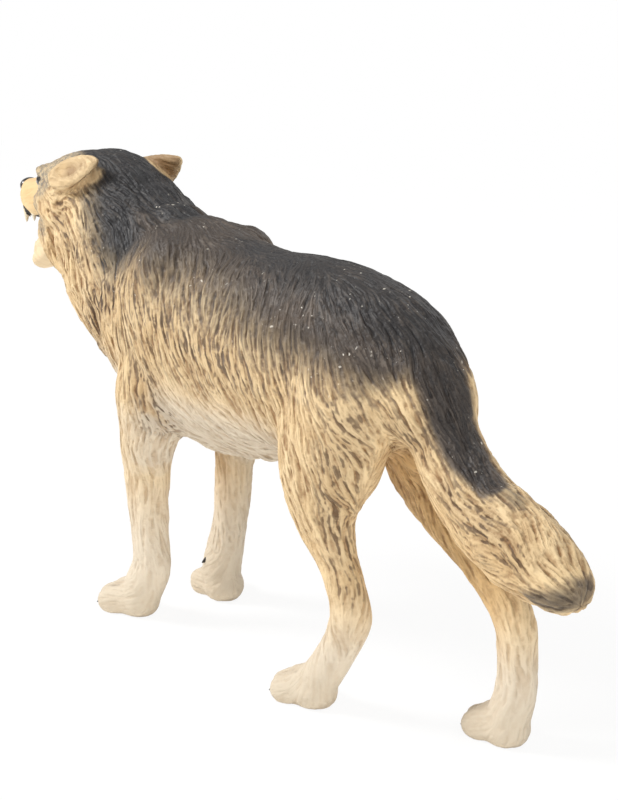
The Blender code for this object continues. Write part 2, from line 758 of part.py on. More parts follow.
def wolf():
    """The whole figurine, as one solid."""
    shoulder = (SHOULDER_OFFSET, WITHERS_HEIGHT * 0.66)
    hip = (HIP_OFFSET, WITHERS_HEIGHT * 0.69)
    feet = (
        ("left_fore", LEFT_FORE_FOOT, shoulder, LEFT_FORE, 12),
        ("right_fore", RIGHT_FORE_FOOT, shoulder, RIGHT_FORE, 14),
        ("left_hind", LEFT_HIND_FOOT, hip, LEFT_HIND, 6),
        ("right_hind", RIGHT_HIND_FOOT, hip, RIGHT_HIND, 4),
    )
    core = [trunk(), tail(), *muscles()]
    paws = []
    claws = []
    for name, foot, joint, rows, splay in feet:
        core.append(leg(name, foot, *joint, rows))
        pieces, nails = paw(name, foot, splay)
        paws += pieces
        claws += nails
    core = fuse("core", core, CORE_CELL, CORE_SMOOTHING)
    collar = fuse("neck", [neck()], CORE_CELL, 2)
    frame = head_frame()
    head = fuse("head", [skull(), *face()], SKIN_CELL, 4)
    head = cut("socket", head, eye_sockets())
    moved([head], frame)
    ears = [ear(1, 0.94, 0.07, 0.36), ear(-1, 1.10, -0.06, 0.28)]
    shells = moved([shell for shell, _ in ears], frame)
    hollows = moved([hollow for _, hollow in ears], frame)
    extras = moved([lower_jaw(), tongue(), *fangs(), *eyes()], frame)
    paws = fuse("paws", paws, SKIN_CELL, 2)
    body = fuse("body", [core, collar, head, paws], SKIN_CELL, 2)
    body = fuse("wolf_figurine", [body, *coat(body), *claws, *shells, *extras], SKIN_CELL, SKIN_SMOOTHING)
    body = cut("ear_hollow", body, hollows)
    body = outer_skin(body)
    body = thinned(body, SKIN_TRIANGLES)
    body = flat_soles(body)
    body = centred(body)
    body.data.shade_smooth()
    body.data.materials.clear()
    body.data.materials.append(vinyl())
    return body


def main():
    for old in list(bpy.data.objects):
        bpy.data.objects.remove(old)
    body = wolf()
    home = bpy.data.collections.new("wolf_figurine")
    bpy.context.scene.collection.children.link(home)
    for place in list(body.users_collection):
        place.objects.unlink(body)
    home.objects.link(body)


main()
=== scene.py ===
"""The painted wolf figurine in a plain pale studio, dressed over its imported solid.

Lengths are in metres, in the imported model's frame: the wolf faces -Y, its left side is +X
and it stands on Z = 0. Places of paint, fur, teeth and claws are in millimetres.
"""

from __future__ import annotations

import logging
import math
from dataclasses import dataclass, field
from enum import Enum

import bmesh
import bpy
import numpy as np
from mathutils import Matrix, Vector
from mathutils.bvhtree import BVHTree


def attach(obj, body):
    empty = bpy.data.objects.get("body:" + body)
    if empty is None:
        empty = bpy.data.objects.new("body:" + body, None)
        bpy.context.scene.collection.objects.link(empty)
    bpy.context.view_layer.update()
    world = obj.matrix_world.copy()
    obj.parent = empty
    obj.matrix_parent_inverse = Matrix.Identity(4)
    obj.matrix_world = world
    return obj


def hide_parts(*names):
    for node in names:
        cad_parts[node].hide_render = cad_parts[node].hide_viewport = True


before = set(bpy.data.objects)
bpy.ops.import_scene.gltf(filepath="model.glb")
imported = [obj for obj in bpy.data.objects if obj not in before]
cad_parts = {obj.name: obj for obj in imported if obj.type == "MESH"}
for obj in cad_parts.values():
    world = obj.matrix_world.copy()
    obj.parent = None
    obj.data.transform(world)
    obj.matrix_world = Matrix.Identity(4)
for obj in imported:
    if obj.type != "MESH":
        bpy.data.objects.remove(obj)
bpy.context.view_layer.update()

MM = 0.001
NODE = "wolf_figurine"
BODY = "root"
# The attribute that keeps the whole skin's normals while it is parted
WHOLE_NORMAL = "whole_normal"
# How far the mean of the noise along a stroke strays from 0.5
STROKE_SPREAD = 0.085
# How many places along a stroke are read
STROKE_TAPS = 7

log = logging.getLogger("wolf")

Colour = tuple[float, float, float, float]
Place = tuple[float, float, float]


def srgb(red: float, green: float, blue: float) -> Colour:
    """A display colour of 0 to 255 a channel as the linear colour a shader takes.

    Args:
        red: The red channel.
        green: The green channel.
        blue: The blue channel.

    Returns:
        The linear colour, opaque.
    """
    channels = []
    for value in (red, green, blue):
        share = value / 255
        channels.append(share / 12.92 if share <= 0.04045 else ((share + 0.055) / 1.055) ** 2.4)
    return (*channels, 1.0)


def eased(low: float | np.ndarray, high: float | np.ndarray, values: np.ndarray) -> np.ndarray:
    """Values eased from 0 at low to 1 at high.

    Args:
        low: Where the step starts.
        high: Where the step ends. It may lie below low, which turns the step over.
        values: The values to ease.

    Returns:
        The eased values.
    """
    share = np.clip((values - low) / (high - low), 0.0, 1.0)
    return share * share * (3 - 2 * share)


def unit(rows: np.ndarray) -> np.ndarray:
    """Each row brought to length 1."""
    return rows / np.maximum(np.linalg.norm(rows, axis=1), 1e-9)[:, None]


class Layer(Enum):
    """A named value that a piece carries on each point, for its shader and its carving."""

    WAY = "fur_way"
    DEPTH = "fur_depth"
    DARK = "dark_coat"
    CORE = "dark_core"
    BROWN = "brown_wash_and_shade"
    OCHRE = "ochre"
    PALE = "pale"
    GREY = "grey_face"
    EAR = "ear_brown"
    MOUTH = "mouth"
    TONGUE = "tongue"
    BLACK = "black_detail"
    PUPIL = "from_pupil"


@dataclass(frozen=True)
class Head:
    """Where the head lies, in millimetres: its frame, from which eyes, nose and jaws are placed.

    Attributes:
        base: The base of the skull.
        turn: How far the head turns to its left, in degrees.
        width: The skull's width.
        length: From the skull's base to the nose.
        height: The skull's height.
        jaw_length: The lower jaw's length.
        jaw_drop: How far the lower jaw drops, in degrees.
        jaw_hinge: The lower jaw's hinge, in shares of the head.
        eye_place: The left eye's middle, in shares of the head.
    """

    base: Place = (0.15, -36.756, 50.4)
    turn: float = 5.0
    width: float = 12.4
    length: float = 18.2
    height: float = 11.0
    jaw_length: float = 13.0
    jaw_drop: float = 26.0
    jaw_hinge: Place = (0.0, 0.24, -0.42)
    eye_place: Place = (0.50, 0.560, 0.165)

    def turned(self, way: Vector) -> Vector:
        """A way of the head's own frame in the wolf's."""
        return Matrix.Rotation(math.radians(self.turn), 3, "Z") @ way

    def place(self, across: float, ahead: float, height: float) -> Vector:
        """A place given as shares of the head's half width, length and height."""
        own = Vector((across * self.width / 2, -ahead * self.length, height * self.height))
        return Vector(self.base) + self.turned(own)

    def jaw(self, along: float, across: float = 0.0, height: float = 0.0) -> Vector:
        """A place on the lower jaw, from its hinge at 0 to its chin at 1.

        Args:
            along: The share of the jaw's length.
            across: How far to the left it lies.
            height: How far above the jaw's middle line it lies.

        Returns:
            The place, in millimetres.
        """
        drop = math.radians(self.jaw_drop)
        way = Vector((0, -math.cos(drop), -math.sin(drop)))
        rise = Vector((0, -math.sin(drop), math.cos(drop)))
        own = way * self.jaw_length * along + rise * height + Vector((across, 0, 0))
        return self.place(*self.jaw_hinge) + self.turned(own)

    def eye(self, side: int) -> Vector:
        """The middle of the eye on the left side, 1, or the right side, -1."""
        across, ahead, height = self.eye_place
        return self.place(side * across, ahead, height)


HEAD = Head()


@dataclass(frozen=True)
class Foot:
    """A paw's own frame, in which toes and claws are placed, in millimetres.

    Attributes:
        x: How far to the left the leg meets the paw.
        y: How far back.
        splay: How far the paw turns out, in degrees.
        spread: How far across the outermost toes could lie.
        length: The paw's length.
    """

    x: float
    y: float
    splay: float
    spread: float = 3.36
    length: float = 9.6

    def turned(self, way: Vector) -> Vector:
        """A way of the paw's own frame in the wolf's."""
        return Matrix.Rotation(math.radians(self.splay), 3, "Z") @ way

    def place(self, across: float, ahead: float, height: float) -> Vector:
        """A place given as shares of the paw's spread and length, and a height in millimetres."""
        own = Vector((self.spread * across, -self.length * ahead, height))
        return Vector((self.x, self.y, 0)) + self.turned(own)


LEFT_FORE = Foot(6.15, -19.556, 12.0)
RIGHT_FORE = Foot(-5.35, -17.956, -14.0)
LEFT_HIND = Foot(5.25, 17.844, 6.0)
RIGHT_HIND = Foot(-5.65, 39.044, -4.0)
FEET = (LEFT_FORE, RIGHT_FORE, LEFT_HIND, RIGHT_HIND)


@dataclass(frozen=True)
class Ear:
    """An ear, laid back over the neck.

    Attributes:
        side: 1 for the left ear and -1 for the right.
        ahead: How far ahead its root lies, as a share of the head's length.
        height: How high its root lies, as a share of the head's height.
        length: Its length, in millimetres.
        out: How far out its root lies, as a share of the head's half width.
        lean: The way from a left ear's root to its tip.
    """

    side: int
    ahead: float
    height: float
    length: float
    out: float = 0.98
    lean: Place = (-0.11, 0.90, 0.36)

    def way(self) -> Vector:
        """The way from the ear's root to its tip."""
        return Vector((self.side * self.lean[0], *self.lean[1:])).normalized()

    def along(self, gap: float) -> Vector:
        """The place on the ear's middle line at a distance from its root, in millimetres."""
        return HEAD.place(self.side * self.out, self.ahead, self.height) + self.way() * gap


EARS = (Ear(1, 0.07, 0.36, 7.4), Ear(-1, -0.06, 0.28, 8.7))


@dataclass(frozen=True)
class Spray:
    """One pass of the spray gun, along a path of places in millimetres.

    Attributes:
        path: The places that the middle of the pass goes through.
        core: How far from the path the paint is full, at each place.
        reach: How far from the path the paint ends, at each place.
        strength: How much paint the pass lays, from 0 to 1.
    """

    path: tuple[Place, ...]
    core: tuple[float, ...]
    reach: tuple[float, ...]
    strength: float = 1.0

    def laid_on(self, points: np.ndarray) -> np.ndarray:
        """The paint on each point.

        Args:
            points: The points, in millimetres.

        Returns:
            The amount of paint on each, from 0 to the pass's strength.
        """
        places = np.array(self.path, dtype=float)
        best = np.zeros(len(points))
        for index in range(max(len(places) - 1, 1)):
            after = min(index + 1, len(places) - 1)
            way = places[after] - places[index]
            length = max(float(way @ way), 1e-9)
            share = np.clip((points - places[index]) @ way / length, 0.0, 1.0)
            gap = np.linalg.norm(points - places[index] - share[:, None] * way, axis=1)
            core = self.core[index] * (1 - share) + self.core[after] * share
            reach = self.reach[index] * (1 - share) + self.reach[after] * share
            best = np.maximum(best, eased(reach, core, gap))
        return best * self.strength


def sprayed(points: np.ndarray, passes: tuple[Spray, ...]) -> np.ndarray:
    """The most paint that any of the passes lays on each point."""
    return np.max([one.laid_on(points) for one in passes], axis=0)


def both_sides(path: tuple[Place, ...], core: tuple[float, ...], reach: tuple[float, ...],
               strength: float = 1.0) -> tuple[Spray, Spray]:
    """A pass on the left side and the same pass on the right."""
    right = tuple((-x, y, z) for x, y, z in path)
    return Spray(path, core, reach, strength), Spray(right, core, reach, strength)


def on_head(*shares: Place) -> tuple[Place, ...]:
    """A path given in the head's shares, as places in millimetres."""
    return tuple(tuple(HEAD.place(*share)) for share in shares)


def on_jaw(*shares: Place) -> tuple[Place, ...]:
    """A path given along, across and above the lower jaw, as places in millimetres."""
    return tuple(tuple(HEAD.jaw(*share)) for share in shares)


@dataclass(frozen=True)
class Paintwork:
    """Where the paints of the coat lie.

    Attributes:
        edge: The lower edge of the dark coat: how far back, how high, and half the width of its
            blurred edge, all in millimetres.
        fore_legs_end: How far back the fore legs reach, in millimetres.
        ear_tint: The least brown on an ear.
    """

    edge: tuple[Place, ...] = (
        (-38.5, 60.5, 3.0), (-36.5, 57.0, 4.4), (-34.0, 52.4, 6.0), (-31.5, 49.0, 6.8),
        (-29.0, 46.0, 6.8), (-26.0, 43.2, 6.0), (-22.0, 42.4, 5.4), (-19.5, 44.0, 5.4),
        (-17.0, 45.4, 5.4), (-13.0, 43.6, 6.4), (-8.0, 43.2, 7.2), (3.0, 41.8, 7.4),
        (10.0, 40.4, 6.8), (15.0, 40.2, 6.0), (21.0, 40.0, 5.0), (25.5, 39.4, 4.2),
        (29.0, 39.8, 3.2), (33.0, 42.0, 2.2), (36.0, 60.0, 2.2),
    )
    fore_legs_end: float = -8.0
    ear_tint: float = 0.26

    def dark(self, points: np.ndarray) -> np.ndarray:
        """The dark coat over the crown, nape, back and rump, and along the top of the tail.

        Args:
            points: The points, in millimetres.

        Returns:
            The amount of paint on each point, from 0 to 1.
        """
        rows = np.array(self.edge)
        low = np.interp(points[:, 1], rows[:, 0], rows[:, 1])
        soft = np.interp(points[:, 1], rows[:, 0], rows[:, 2])
        back = eased(low - soft, low + soft, points[:, 2])
        passes = (
            Spray(((-0.4, -41.5, 57.5), (0.0, -37.0, 57.6), (0.0, -33.0, 57.0)),
                  (1.2, 2.6, 4.0), (3.2, 4.8, 6.4)),
            Spray(((0.2, 31.5, 42.5), (0.3, 34.6, 38.5), (0.4, 38.0, 34.6), (0.6, 42.0, 32.2)),
                  (3.0, 2.4, 2.2, 1.2), (5.0, 3.9, 3.6, 2.8)),
            Spray(((0.4, 41.0, 32.6), (0.2, 45.5, 31.4)), (1.0, 0.2), (2.4, 1.9), 0.7),
            Spray(((3.0, 51.0, 22.4), (2.0, 54.0, 23.2), (-1.2, 55.7, 24.6)), (0.5, 0.8, 0.5),
                  (2.4, 3.0, 2.4), 0.85),
        )
        return np.maximum(back, sprayed(points, passes))

    def core(self, points: np.ndarray) -> np.ndarray:
        """The blue-black middles of the dark coat.

        Args:
            points: The points, in millimetres.

        Returns:
            The amount of paint on each point, from 0 to 1.
        """
        passes = (
            Spray(((1.0, -36.0, 57.2), (0.5, -27.0, 55.2), (0.0, -19.0, 53.0)),
                  (2.6, 3.4, 2.0), (6.5, 7.5, 5.5)),
            *both_sides(((6.4, -28.0, 51.5), (7.2, -24.6, 48.2)), (3.2, 2.6), (6.6, 5.8)),
            Spray(((0.0, -4.0, 51.4), (0.0, 10.0, 51.0), (0.0, 20.0, 50.4), (0.0, 27.0, 47.0)),
                  (1.0, 3.0, 4.0, 3.5), (5.5, 8.5, 9.5, 7.5), 0.85),
            Spray(((0.3, 28.0, 46.0), (0.2, 33.5, 40.5), (0.3, 37.0, 35.6), (0.6, 41.0, 32.8)),
                  (2.0, 1.6, 1.4, 0.8), (4.4, 3.2, 3.0, 2.2), 0.55),
        )
        return sprayed(points, passes)

    def brown(self, points: np.ndarray) -> np.ndarray:
        """The brown washed into the coat's hollows, with painted shade between the toes and along the
        ruff's fold.

        Args:
            points: The points, in millimetres.

        Returns:
            The amount of paint on each point, from 0 to 1.
        """
        passes = (
            Spray(((7.5, 25.5, 36.0), (7.6, 24.0, 31.0), (7.0, 22.6, 25.0), (6.2, 22.6, 20.0),
                   (6.2, 24.6, 16.0)), (0.8, 0.9, 0.8, 0.9, 0.6), (5.6, 5.2, 4.2, 3.6, 2.8), 0.72),
            Spray(((-7.5, 27.5, 36.0), (-7.0, 30.0, 29.0)), (1.0, 0.6), (4.2, 3.0), 0.45),
            *both_sides(((8.6, -14.5, 33.6), (7.8, -12.5, 28.4)), (1.4, 1.2), (5.6, 4.8), 0.72),
            # The ruff's fold: brown wash and painted shade where the ruff overhangs the shoulder
            *both_sides(((9.0, -22.4, 41.6), (8.6, -26.6, 39.8), (7.4, -29.6, 37.0)),
                        (0.7, 0.8, 0.6), (2.6, 3.0, 3.2), 0.95),
            *both_sides(((7.2, -38.0, 50.2), (7.6, -36.0, 47.6), (8.2, -32.0, 45.0)),
                        (0.5, 0.5, 0.4), (1.9, 2.2, 2.0), 0.8),
            *both_sides(((9.0, -20.0, 37.0), (8.8, -14.0, 38.0)), (0.4, 0.4), (3.6, 3.2), 0.5),
            Spray(((5.0, 30.5, 37.0), (3.6, 34.0, 34.6)), (0.6, 0.6), (3.0, 2.8), 0.75),
            *both_sides(((4.6, 39.0, 31.0), (4.4, 45.0, 28.6), (3.6, 49.5, 27.0)), (0.8, 1.2, 0.4),
                        (3.6, 4.8, 3.6), 0.80),
            *both_sides(((8.6, -15.0, 40.0), (9.0, -2.0, 38.0), (9.0, 8.0, 37.0)), (2.4, 1.8, 0.8),
                        (7.5, 6.4, 4.5), 0.58),
            *both_sides(((8.6, -27.0, 40.0), (8.0, -30.0, 35.0), (6.5, -32.0, 31.0)), (1.2, 1.4, 1.0),
                        (4.8, 5.4, 4.8), 0.75),
            *self.toe_gaps(),
        )
        return sprayed(points, passes)

    def toe_gaps(self) -> tuple[Spray, ...]:
        """The thin painted shade between the toes of each paw.

        Returns:
            One pass for each gap.
        """
        passes = []
        for foot in FEET:
            for across in (-0.47, 0.0, 0.47):
                path = (tuple(foot.place(across, 0.30, 4.2)), tuple(foot.place(across, 0.62, 1.6)))
                passes.append(Spray(path, (0.10, 0.15), (0.70, 0.80), 0.50))
        return tuple(passes)

    def ochre(self, points: np.ndarray) -> np.ndarray:
        """The warmer cream of the inner legs, the muzzle and the underside of the tail.

        Args:
            points: The points, in millimetres.

        Returns:
            The amount of paint on each point, from 0 to 1.
        """
        passes = (
            Spray(((-6, 24, 30), (-6, 34, 20), (-6, 38, 12)), (4.0, 3.0, 2.0), (8.0, 5.5, 4.0), 0.8),
            Spray(((-5, -20, 24), (-5, -18, 15)), (4.0, 2.0), (7.0, 4.5), 0.9),
            Spray(((0, 38, 28), (0, 48, 25)), (2.5, 2.5), (5.5, 5.5), 0.55),
            Spray(on_head((0, 1.0, 0.0), (0, 0.6, 0.0)), (2.5, 3.0), (4.0, 5.0), 0.5),
        )
        return sprayed(points, passes)

    def pale(self, points: np.ndarray, normals: np.ndarray) -> np.ndarray:
        """The pale paint of the lower legs and paws, the belly and the chin.

        Args:
            points: The points, in millimetres.
            normals: Their normals.

        Returns:
            The amount of paint on each point, from 0 to 1.
        """
        fore = points[:, 1] < self.fore_legs_end
        legs = np.where(fore, eased(27.0, 9.0, points[:, 2]), eased(18.0, 7.0, points[:, 2]))
        belly = eased(0.15, -0.40, normals[:, 2]) * eased(36.0, 29.0, points[:, 2])
        belly *= eased(14.0, 8.0, points[:, 1])
        chin = Spray(on_jaw((1.0, 0, 0), (0.4, 0, 0)), (2.4, 2.6), (3.8, 4.2), 0.3)
        return np.maximum(np.maximum(legs, belly), chin.laid_on(points))

    def grey(self, points: np.ndarray) -> np.ndarray:
        """The grey speckle over the forehead and the sides of the face.

        Args:
            points: The points, in millimetres.

        Returns:
            The amount of paint on each point, from 0 to 1.
        """
        passes = [Spray(on_head((0.0, 0.62, 0.40), (0.0, 0.30, 0.55), (0.0, 0.02, 0.60)),
                        (2.0, 4.2, 4.4), (4.4, 7.0, 7.0), 1.0)]
        for side in (-1, 1):
            cheek = on_head((side * 0.62, 0.58, 0.10), (side * 0.80, 0.48, -0.15),
                            (side * 0.86, 0.40, -0.35))
            passes.append(Spray(cheek, (0.9, 0.9, 0.5), (2.4, 2.4, 2.0), 0.8))
            temple = on_head((side * 0.50, 0.60, 0.30), (side * 0.80, 0.42, 0.28),
                             (side * 0.74, 0.22, 0.48))
            passes.append(Spray(temple, (1.2, 2.0, 2.2), (2.8, 3.6, 3.8), 0.95))
        return sprayed(points, tuple(passes))

    def ears(self, points: np.ndarray, normals: np.ndarray) -> tuple[np.ndarray, np.ndarray]:
        """How much each point belongs to an ear, and how brown it is there.

        Args:
            points: The points, in millimetres.
            normals: Their normals.

        Returns:
            The share of ear, and the share of brown, on each point.
        """
        whole = np.zeros(len(points))
        brown = np.zeros(len(points))
        for ear in EARS:
            ends = (tuple(ear.along(1.0)), tuple(ear.along(ear.length)))
            belongs = Spray(ends, (2.1, 1.9), (2.7, 2.7)).laid_on(points)
            outward = Vector((ear.side * 0.6, 0.0, 0.4))
            hollow = ear.along(ear.length * 0.30) + outward
            ends = (tuple(hollow), tuple(hollow + ear.way() * 1.6))
            shade = Spray(ends, (0.4, 0.4), (2.3, 2.0), 0.90).laid_on(points)
            inward = eased(0.25, -0.35, normals[:, 0] * ear.side)
            tint = np.maximum(np.maximum(inward, shade), self.ear_tint)
            whole = np.maximum(whole, belongs)
            brown = np.maximum(brown, belongs * tint)
        return whole, brown

    def mouth(self, points: np.ndarray) -> np.ndarray:
        """The dark red of the gums and the throat.

        Args:
            points: The points, in millimetres.

        Returns:
            The amount of paint on each point, from 0 to 1.
        """
        roof = Spray(on_head((0, 0.86, -0.34), (0, 0.40, -0.38)), (1.0, 1.8), (2.1, 3.0))
        floor = Spray(on_jaw((0.12, 0, 1.4), (0.80, 0, 1.4)), (2.4, 1.2), (3.2, 1.9))
        return sprayed(points, (roof, floor))

    def tongue(self, points: np.ndarray) -> np.ndarray:
        """The lighter red of the tongue."""
        return Spray(on_jaw((0.20, 0, 2.4), (0.84, 0, 2.6)), (1.2, 0.9), (2.0, 1.5)).laid_on(points)

    def black(self, points: np.ndarray) -> np.ndarray:
        """The black of the nose, the lips and the rims of the eyes.

        Args:
            points: The points, in millimetres.

        Returns:
            The amount of paint on each point, from 0 to 1.
        """
        passes = [Spray(on_head((0, 1.02, -0.01)), (0.9,), (1.5,))]
        for side in (-1, 1):
            lip = on_head((side * 0.28, 0.96, -0.31), (side * 0.37, 0.885, -0.30),
                          (side * 0.45, 0.80, -0.36), (side * 0.50, 0.60, -0.40))
            passes.append(Spray(lip, (0.5, 0.55, 0.35, 0.3), (1.0, 1.05, 0.8, 0.7), 0.95))
            lids = on_head((side * 0.37, 0.635, 0.115), (side * 0.52, 0.565, 0.165),
                           (side * 0.70, 0.475, 0.215))
            passes.append(Spray(lids, (0.25, 0.6, 0.2), (0.7, 1.15, 0.7)))
            corner = on_head((side * 0.26, 0.985, -0.38), (side * 0.38, 0.88, -0.40))
            passes.append(Spray(corner, (0.7, 0.6), (1.4, 1.2)))
            passes.append(Spray(on_head((side * 0.52, 0.565, 0.165)), (0.95,), (1.3,), 0.9))
        return sprayed(points, tuple(passes))

    def store_on(self, skin: bpy.types.Object) -> None:
        """Stores how much of each paint lies on each point of the coat.

        Args:
            skin: The coat's object.
        """
        points, normals = points_of(skin)
        ear, ear_brown = self.ears(points, normals)
        store(skin, Layer.DARK, self.dark(points) * (1 - ear))
        store(skin, Layer.CORE, self.core(points) * (1 - ear))
        store(skin, Layer.BROWN, self.brown(points) * (1 - ear))
        store(skin, Layer.OCHRE, self.ochre(points))
        store(skin, Layer.PALE, self.pale(points, normals))
        store(skin, Layer.GREY, self.grey(points) * (1 - ear))
        store(skin, Layer.EAR, ear_brown)
        store(skin, Layer.MOUTH, self.mouth(points))
        store(skin, Layer.TONGUE, self.tongue(points))
        store(skin, Layer.BLACK, self.black(points))


@dataclass(frozen=True)
class VinylPaint:
    """The colours of the sprayed coat and how its vinyl shines.

    Attributes:
        cream: The lighter ground of the coat.
        sand: The darker ground, in patches.
        tan: The wash in the grooves of the fur.
        pale: The lower legs, the belly and the chin.
        pale_shade: The grooves there.
        paw: The pale paint darkened by painted shade on the paws, close to the ground.
        ochre: The inner legs, the muzzle and the underside of the tail.
        brown: The brown spray.
        umber: The darker dashes in it.
        edge: The blurred edge of the dark coat.
        smoke: The dark coat.
        core: Its blue-black middles.
        rubbed_and_glint: The hairs' ridges on it, lightened by dry-brushed paint and by painted glints.
        grey: The speckle of the face.
        ear: The ears.
        fleck: The small light spots on the dark coat.
        mouth: The gums and the throat.
        tongue: The tongue.
        black: The lips, the nose's edge and the rims of the eyes.
        groove_wash: How much tan lies in the grooves between tufts.
        fine_wash: How much tan lies between single hairs.
        wide_wash: How much tan lies between clumps.
        pale_wash: How much of the tan the pale paint covers.
        paw_shade_height: How high the painted shade on the paws starts to fade, and where it ends.
        roughness: How dull the vinyl is.
        specular: How strongly it mirrors.
    """

    cream: Colour = srgb(231, 205, 161)
    sand: Colour = srgb(222, 193, 147)
    tan: Colour = srgb(148, 113, 76)
    pale: Colour = srgb(216, 203, 182)
    pale_shade: Colour = srgb(196, 176, 148)
    paw: Colour = srgb(206, 193, 172)
    ochre: Colour = srgb(222, 184, 128)
    brown: Colour = srgb(118, 90, 62)
    umber: Colour = srgb(82, 62, 46)
    edge: Colour = srgb(100, 84, 69)
    smoke: Colour = srgb(68, 60, 54)
    core: Colour = srgb(44, 43, 44)
    rubbed_and_glint: Colour = srgb(128, 116, 104)
    grey: Colour = srgb(124, 119, 110)
    ear: Colour = srgb(128, 98, 70)
    fleck: Colour = srgb(196, 190, 178)
    mouth: Colour = srgb(96, 40, 36)
    tongue: Colour = srgb(150, 78, 72)
    black: Colour = srgb(30, 26, 25)
    groove_wash: float = 0.78
    fine_wash: float = 0.42
    wide_wash: float = 0.24
    pale_wash: float = 0.6
    paw_shade_height: tuple[float, float] = (3.0 * MM, 8.0 * MM)
    roughness: float = 0.62
    specular: float = 0.28


@dataclass(frozen=True)
class PlainPaint:
    """A brushed-on paint of one colour with a little unevenness.

    Attributes:
        name: The material's name.
        colour: The middle colour.
        shade: The colour in its darker patches.
        roughness: How dull it is.
        gloss: How much clear gloss lies over it.
    """

    name: str
    colour: Colour
    shade: Colour
    roughness: float
    gloss: float = 0.0

    def material(self) -> bpy.types.Material:
        """Builds the paint's material.

        Returns:
            The material, with patches of shade and a fine grain.
        """
        made, web, shader = fresh_material(self.name)
        place = web.object_place()
        patches = web.step(web.noise(place, 1100.0, 3.0), 0.35, 0.65)
        web.feed(shader.inputs["Base Color"], web.mix(patches, self.colour, self.shade))
        web.feed(shader.inputs["Normal"], web.bumped(web.noise(place, 5200.0, 2.0), 0.02 * MM))
        shader.inputs["Roughness"].default_value = self.roughness
        shader.inputs["Coat Weight"].default_value = self.gloss
        shader.inputs["Coat Roughness"].default_value = 0.10
        return made


NOSE_BLACK = PlainPaint("nose_black", srgb(34, 30, 29), srgb(52, 46, 43), 0.34, 0.35)
IVORY = PlainPaint("ivory", srgb(232, 222, 198), srgb(214, 198, 164), 0.36, 0.3)
CLAW_HORN = PlainPaint("claw_horn", srgb(42, 36, 33), srgb(28, 25, 24), 0.42, 0.15)


class Web:
    """Short ways to add and join nodes in one tree."""

    def __init__(self, tree: bpy.types.NodeTree) -> None:
        """Keeps the tree that the nodes go into."""
        self.tree = tree

    def add(self, kind: str, **settings: object) -> bpy.types.Node:
        """Adds a node.

        Args:
            kind: The node's type.
            settings: Its properties.

        Returns:
            The node.
        """
        node = self.tree.nodes.new(kind)
        for name, value in settings.items():
            setattr(node, name, value)
        return node

    def feed(self, socket: bpy.types.NodeSocket, value: object) -> None:
        """Joins a socket to another, or sets its value.

        Args:
            socket: The input socket.
            value: An output socket, or a plain value.
        """
        if isinstance(value, bpy.types.NodeSocket):
            self.tree.links.new(value, socket)
        else:
            socket.default_value = value

    def maths(self, operation: str, first: object, second: object = 0.0, third: object = 0.0,
              clamp: bool = False) -> bpy.types.NodeSocket:
        """A Math node.

        Args:
            operation: The node's operation.
            first: Its first value or socket.
            second: Its second value or socket.
            third: Its third value or socket.
            clamp: Whether the result is kept from 0 to 1.

        Returns:
            The result's socket.
        """
        node = self.add("ShaderNodeMath", operation=operation, use_clamp=clamp)
        for socket, value in zip(node.inputs, (first, second, third)):
            self.feed(socket, value)
        return node.outputs[0]

    def vectors(self, operation: str, first: object, second: object) -> bpy.types.NodeSocket:
        """A Vector Math node.

        Args:
            operation: The node's operation.
            first: Its first vector or socket.
            second: Its second vector or socket, or the number that SCALE takes.

        Returns:
            The result's socket.
        """
        node = self.add("ShaderNodeVectorMath", operation=operation)
        self.feed(node.inputs[0], first)
        self.feed(node.inputs["Scale"] if operation == "SCALE" else node.inputs[1], second)
        return node.outputs[0]

    def step(self, value: object, low: float, high: float) -> bpy.types.NodeSocket:
        """A smooth step from 0 at low to 1 at high.

        Args:
            value: The value or socket.
            low: Where the step starts.
            high: Where it ends.

        Returns:
            The step's socket.
        """
        node = self.add("ShaderNodeMapRange", interpolation_type="SMOOTHSTEP")
        self.feed(node.inputs["Value"], value)
        node.inputs["From Min"].default_value = low
        node.inputs["From Max"].default_value = high
        return node.outputs["Result"]

    def noise(self, place: object, scale: object, detail: float = 0.0) -> bpy.types.NodeSocket:
        """A noise value at a place, from 0 to 1.

        Args:
            place: The socket of the place.
            scale: Cells to the metre.
            detail: How many finer layers it has.

        Returns:
            The noise's socket.
        """
        node = self.add("ShaderNodeTexNoise", noise_dimensions="3D")
        self.feed(node.inputs["Vector"], place)
        self.feed(node.inputs["Scale"], scale)
        node.inputs["Detail"].default_value = detail
        return node.outputs["Fac"]

    def mix(self, share: object, first: object, second: object) -> bpy.types.NodeSocket:
        """Mixes two colours.

        Args:
            share: How much of the second there is.
            first: The first colour.
            second: The second colour.

        Returns:
            The mixed colour's socket.
        """
        node = self.add("ShaderNodeMix", data_type="RGBA", clamp_factor=True)
        sockets = {item.identifier: item for item in node.inputs}
        self.feed(sockets["Factor_Float"], share)
        self.feed(sockets["A_Color"], first)
        self.feed(sockets["B_Color"], second)
        return next(item for item in node.outputs if item.identifier == "Result_Color")

    def bumped(self, height: object, depth: float) -> bpy.types.NodeSocket:
        """A normal bumped by a height.

        Args:
            height: The height's socket.
            depth: How far a height of 1 stands above 0.

        Returns:
            The normal's socket.
        """
        bump = self.add("ShaderNodeBump")
        bump.inputs["Strength"].default_value = 1.0
        bump.inputs["Distance"].default_value = depth
        self.feed(bump.inputs["Height"], height)
        return bump.outputs["Normal"]

    def layer(self, layer: Layer, output: str = "Fac") -> bpy.types.NodeSocket:
        """The value that a layer holds at this place."""
        return self.add("ShaderNodeAttribute", attribute_name=layer.value).outputs[output]

    def object_place(self) -> bpy.types.NodeSocket:
        """The place in the object's own coordinates."""
        return self.add("ShaderNodeTexCoord").outputs["Object"]


def fresh_material(name: str) -> tuple[bpy.types.Material, Web, bpy.types.Node]:
    """Starts a material.

    Args:
        name: Its name.

    Returns:
        The material, the web of its tree, and its shader.
    """
    made = bpy.data.materials.new(name)
    made.use_nodes = True
    web = Web(made.node_tree)
    return made, web, web.tree.nodes["Principled BSDF"]


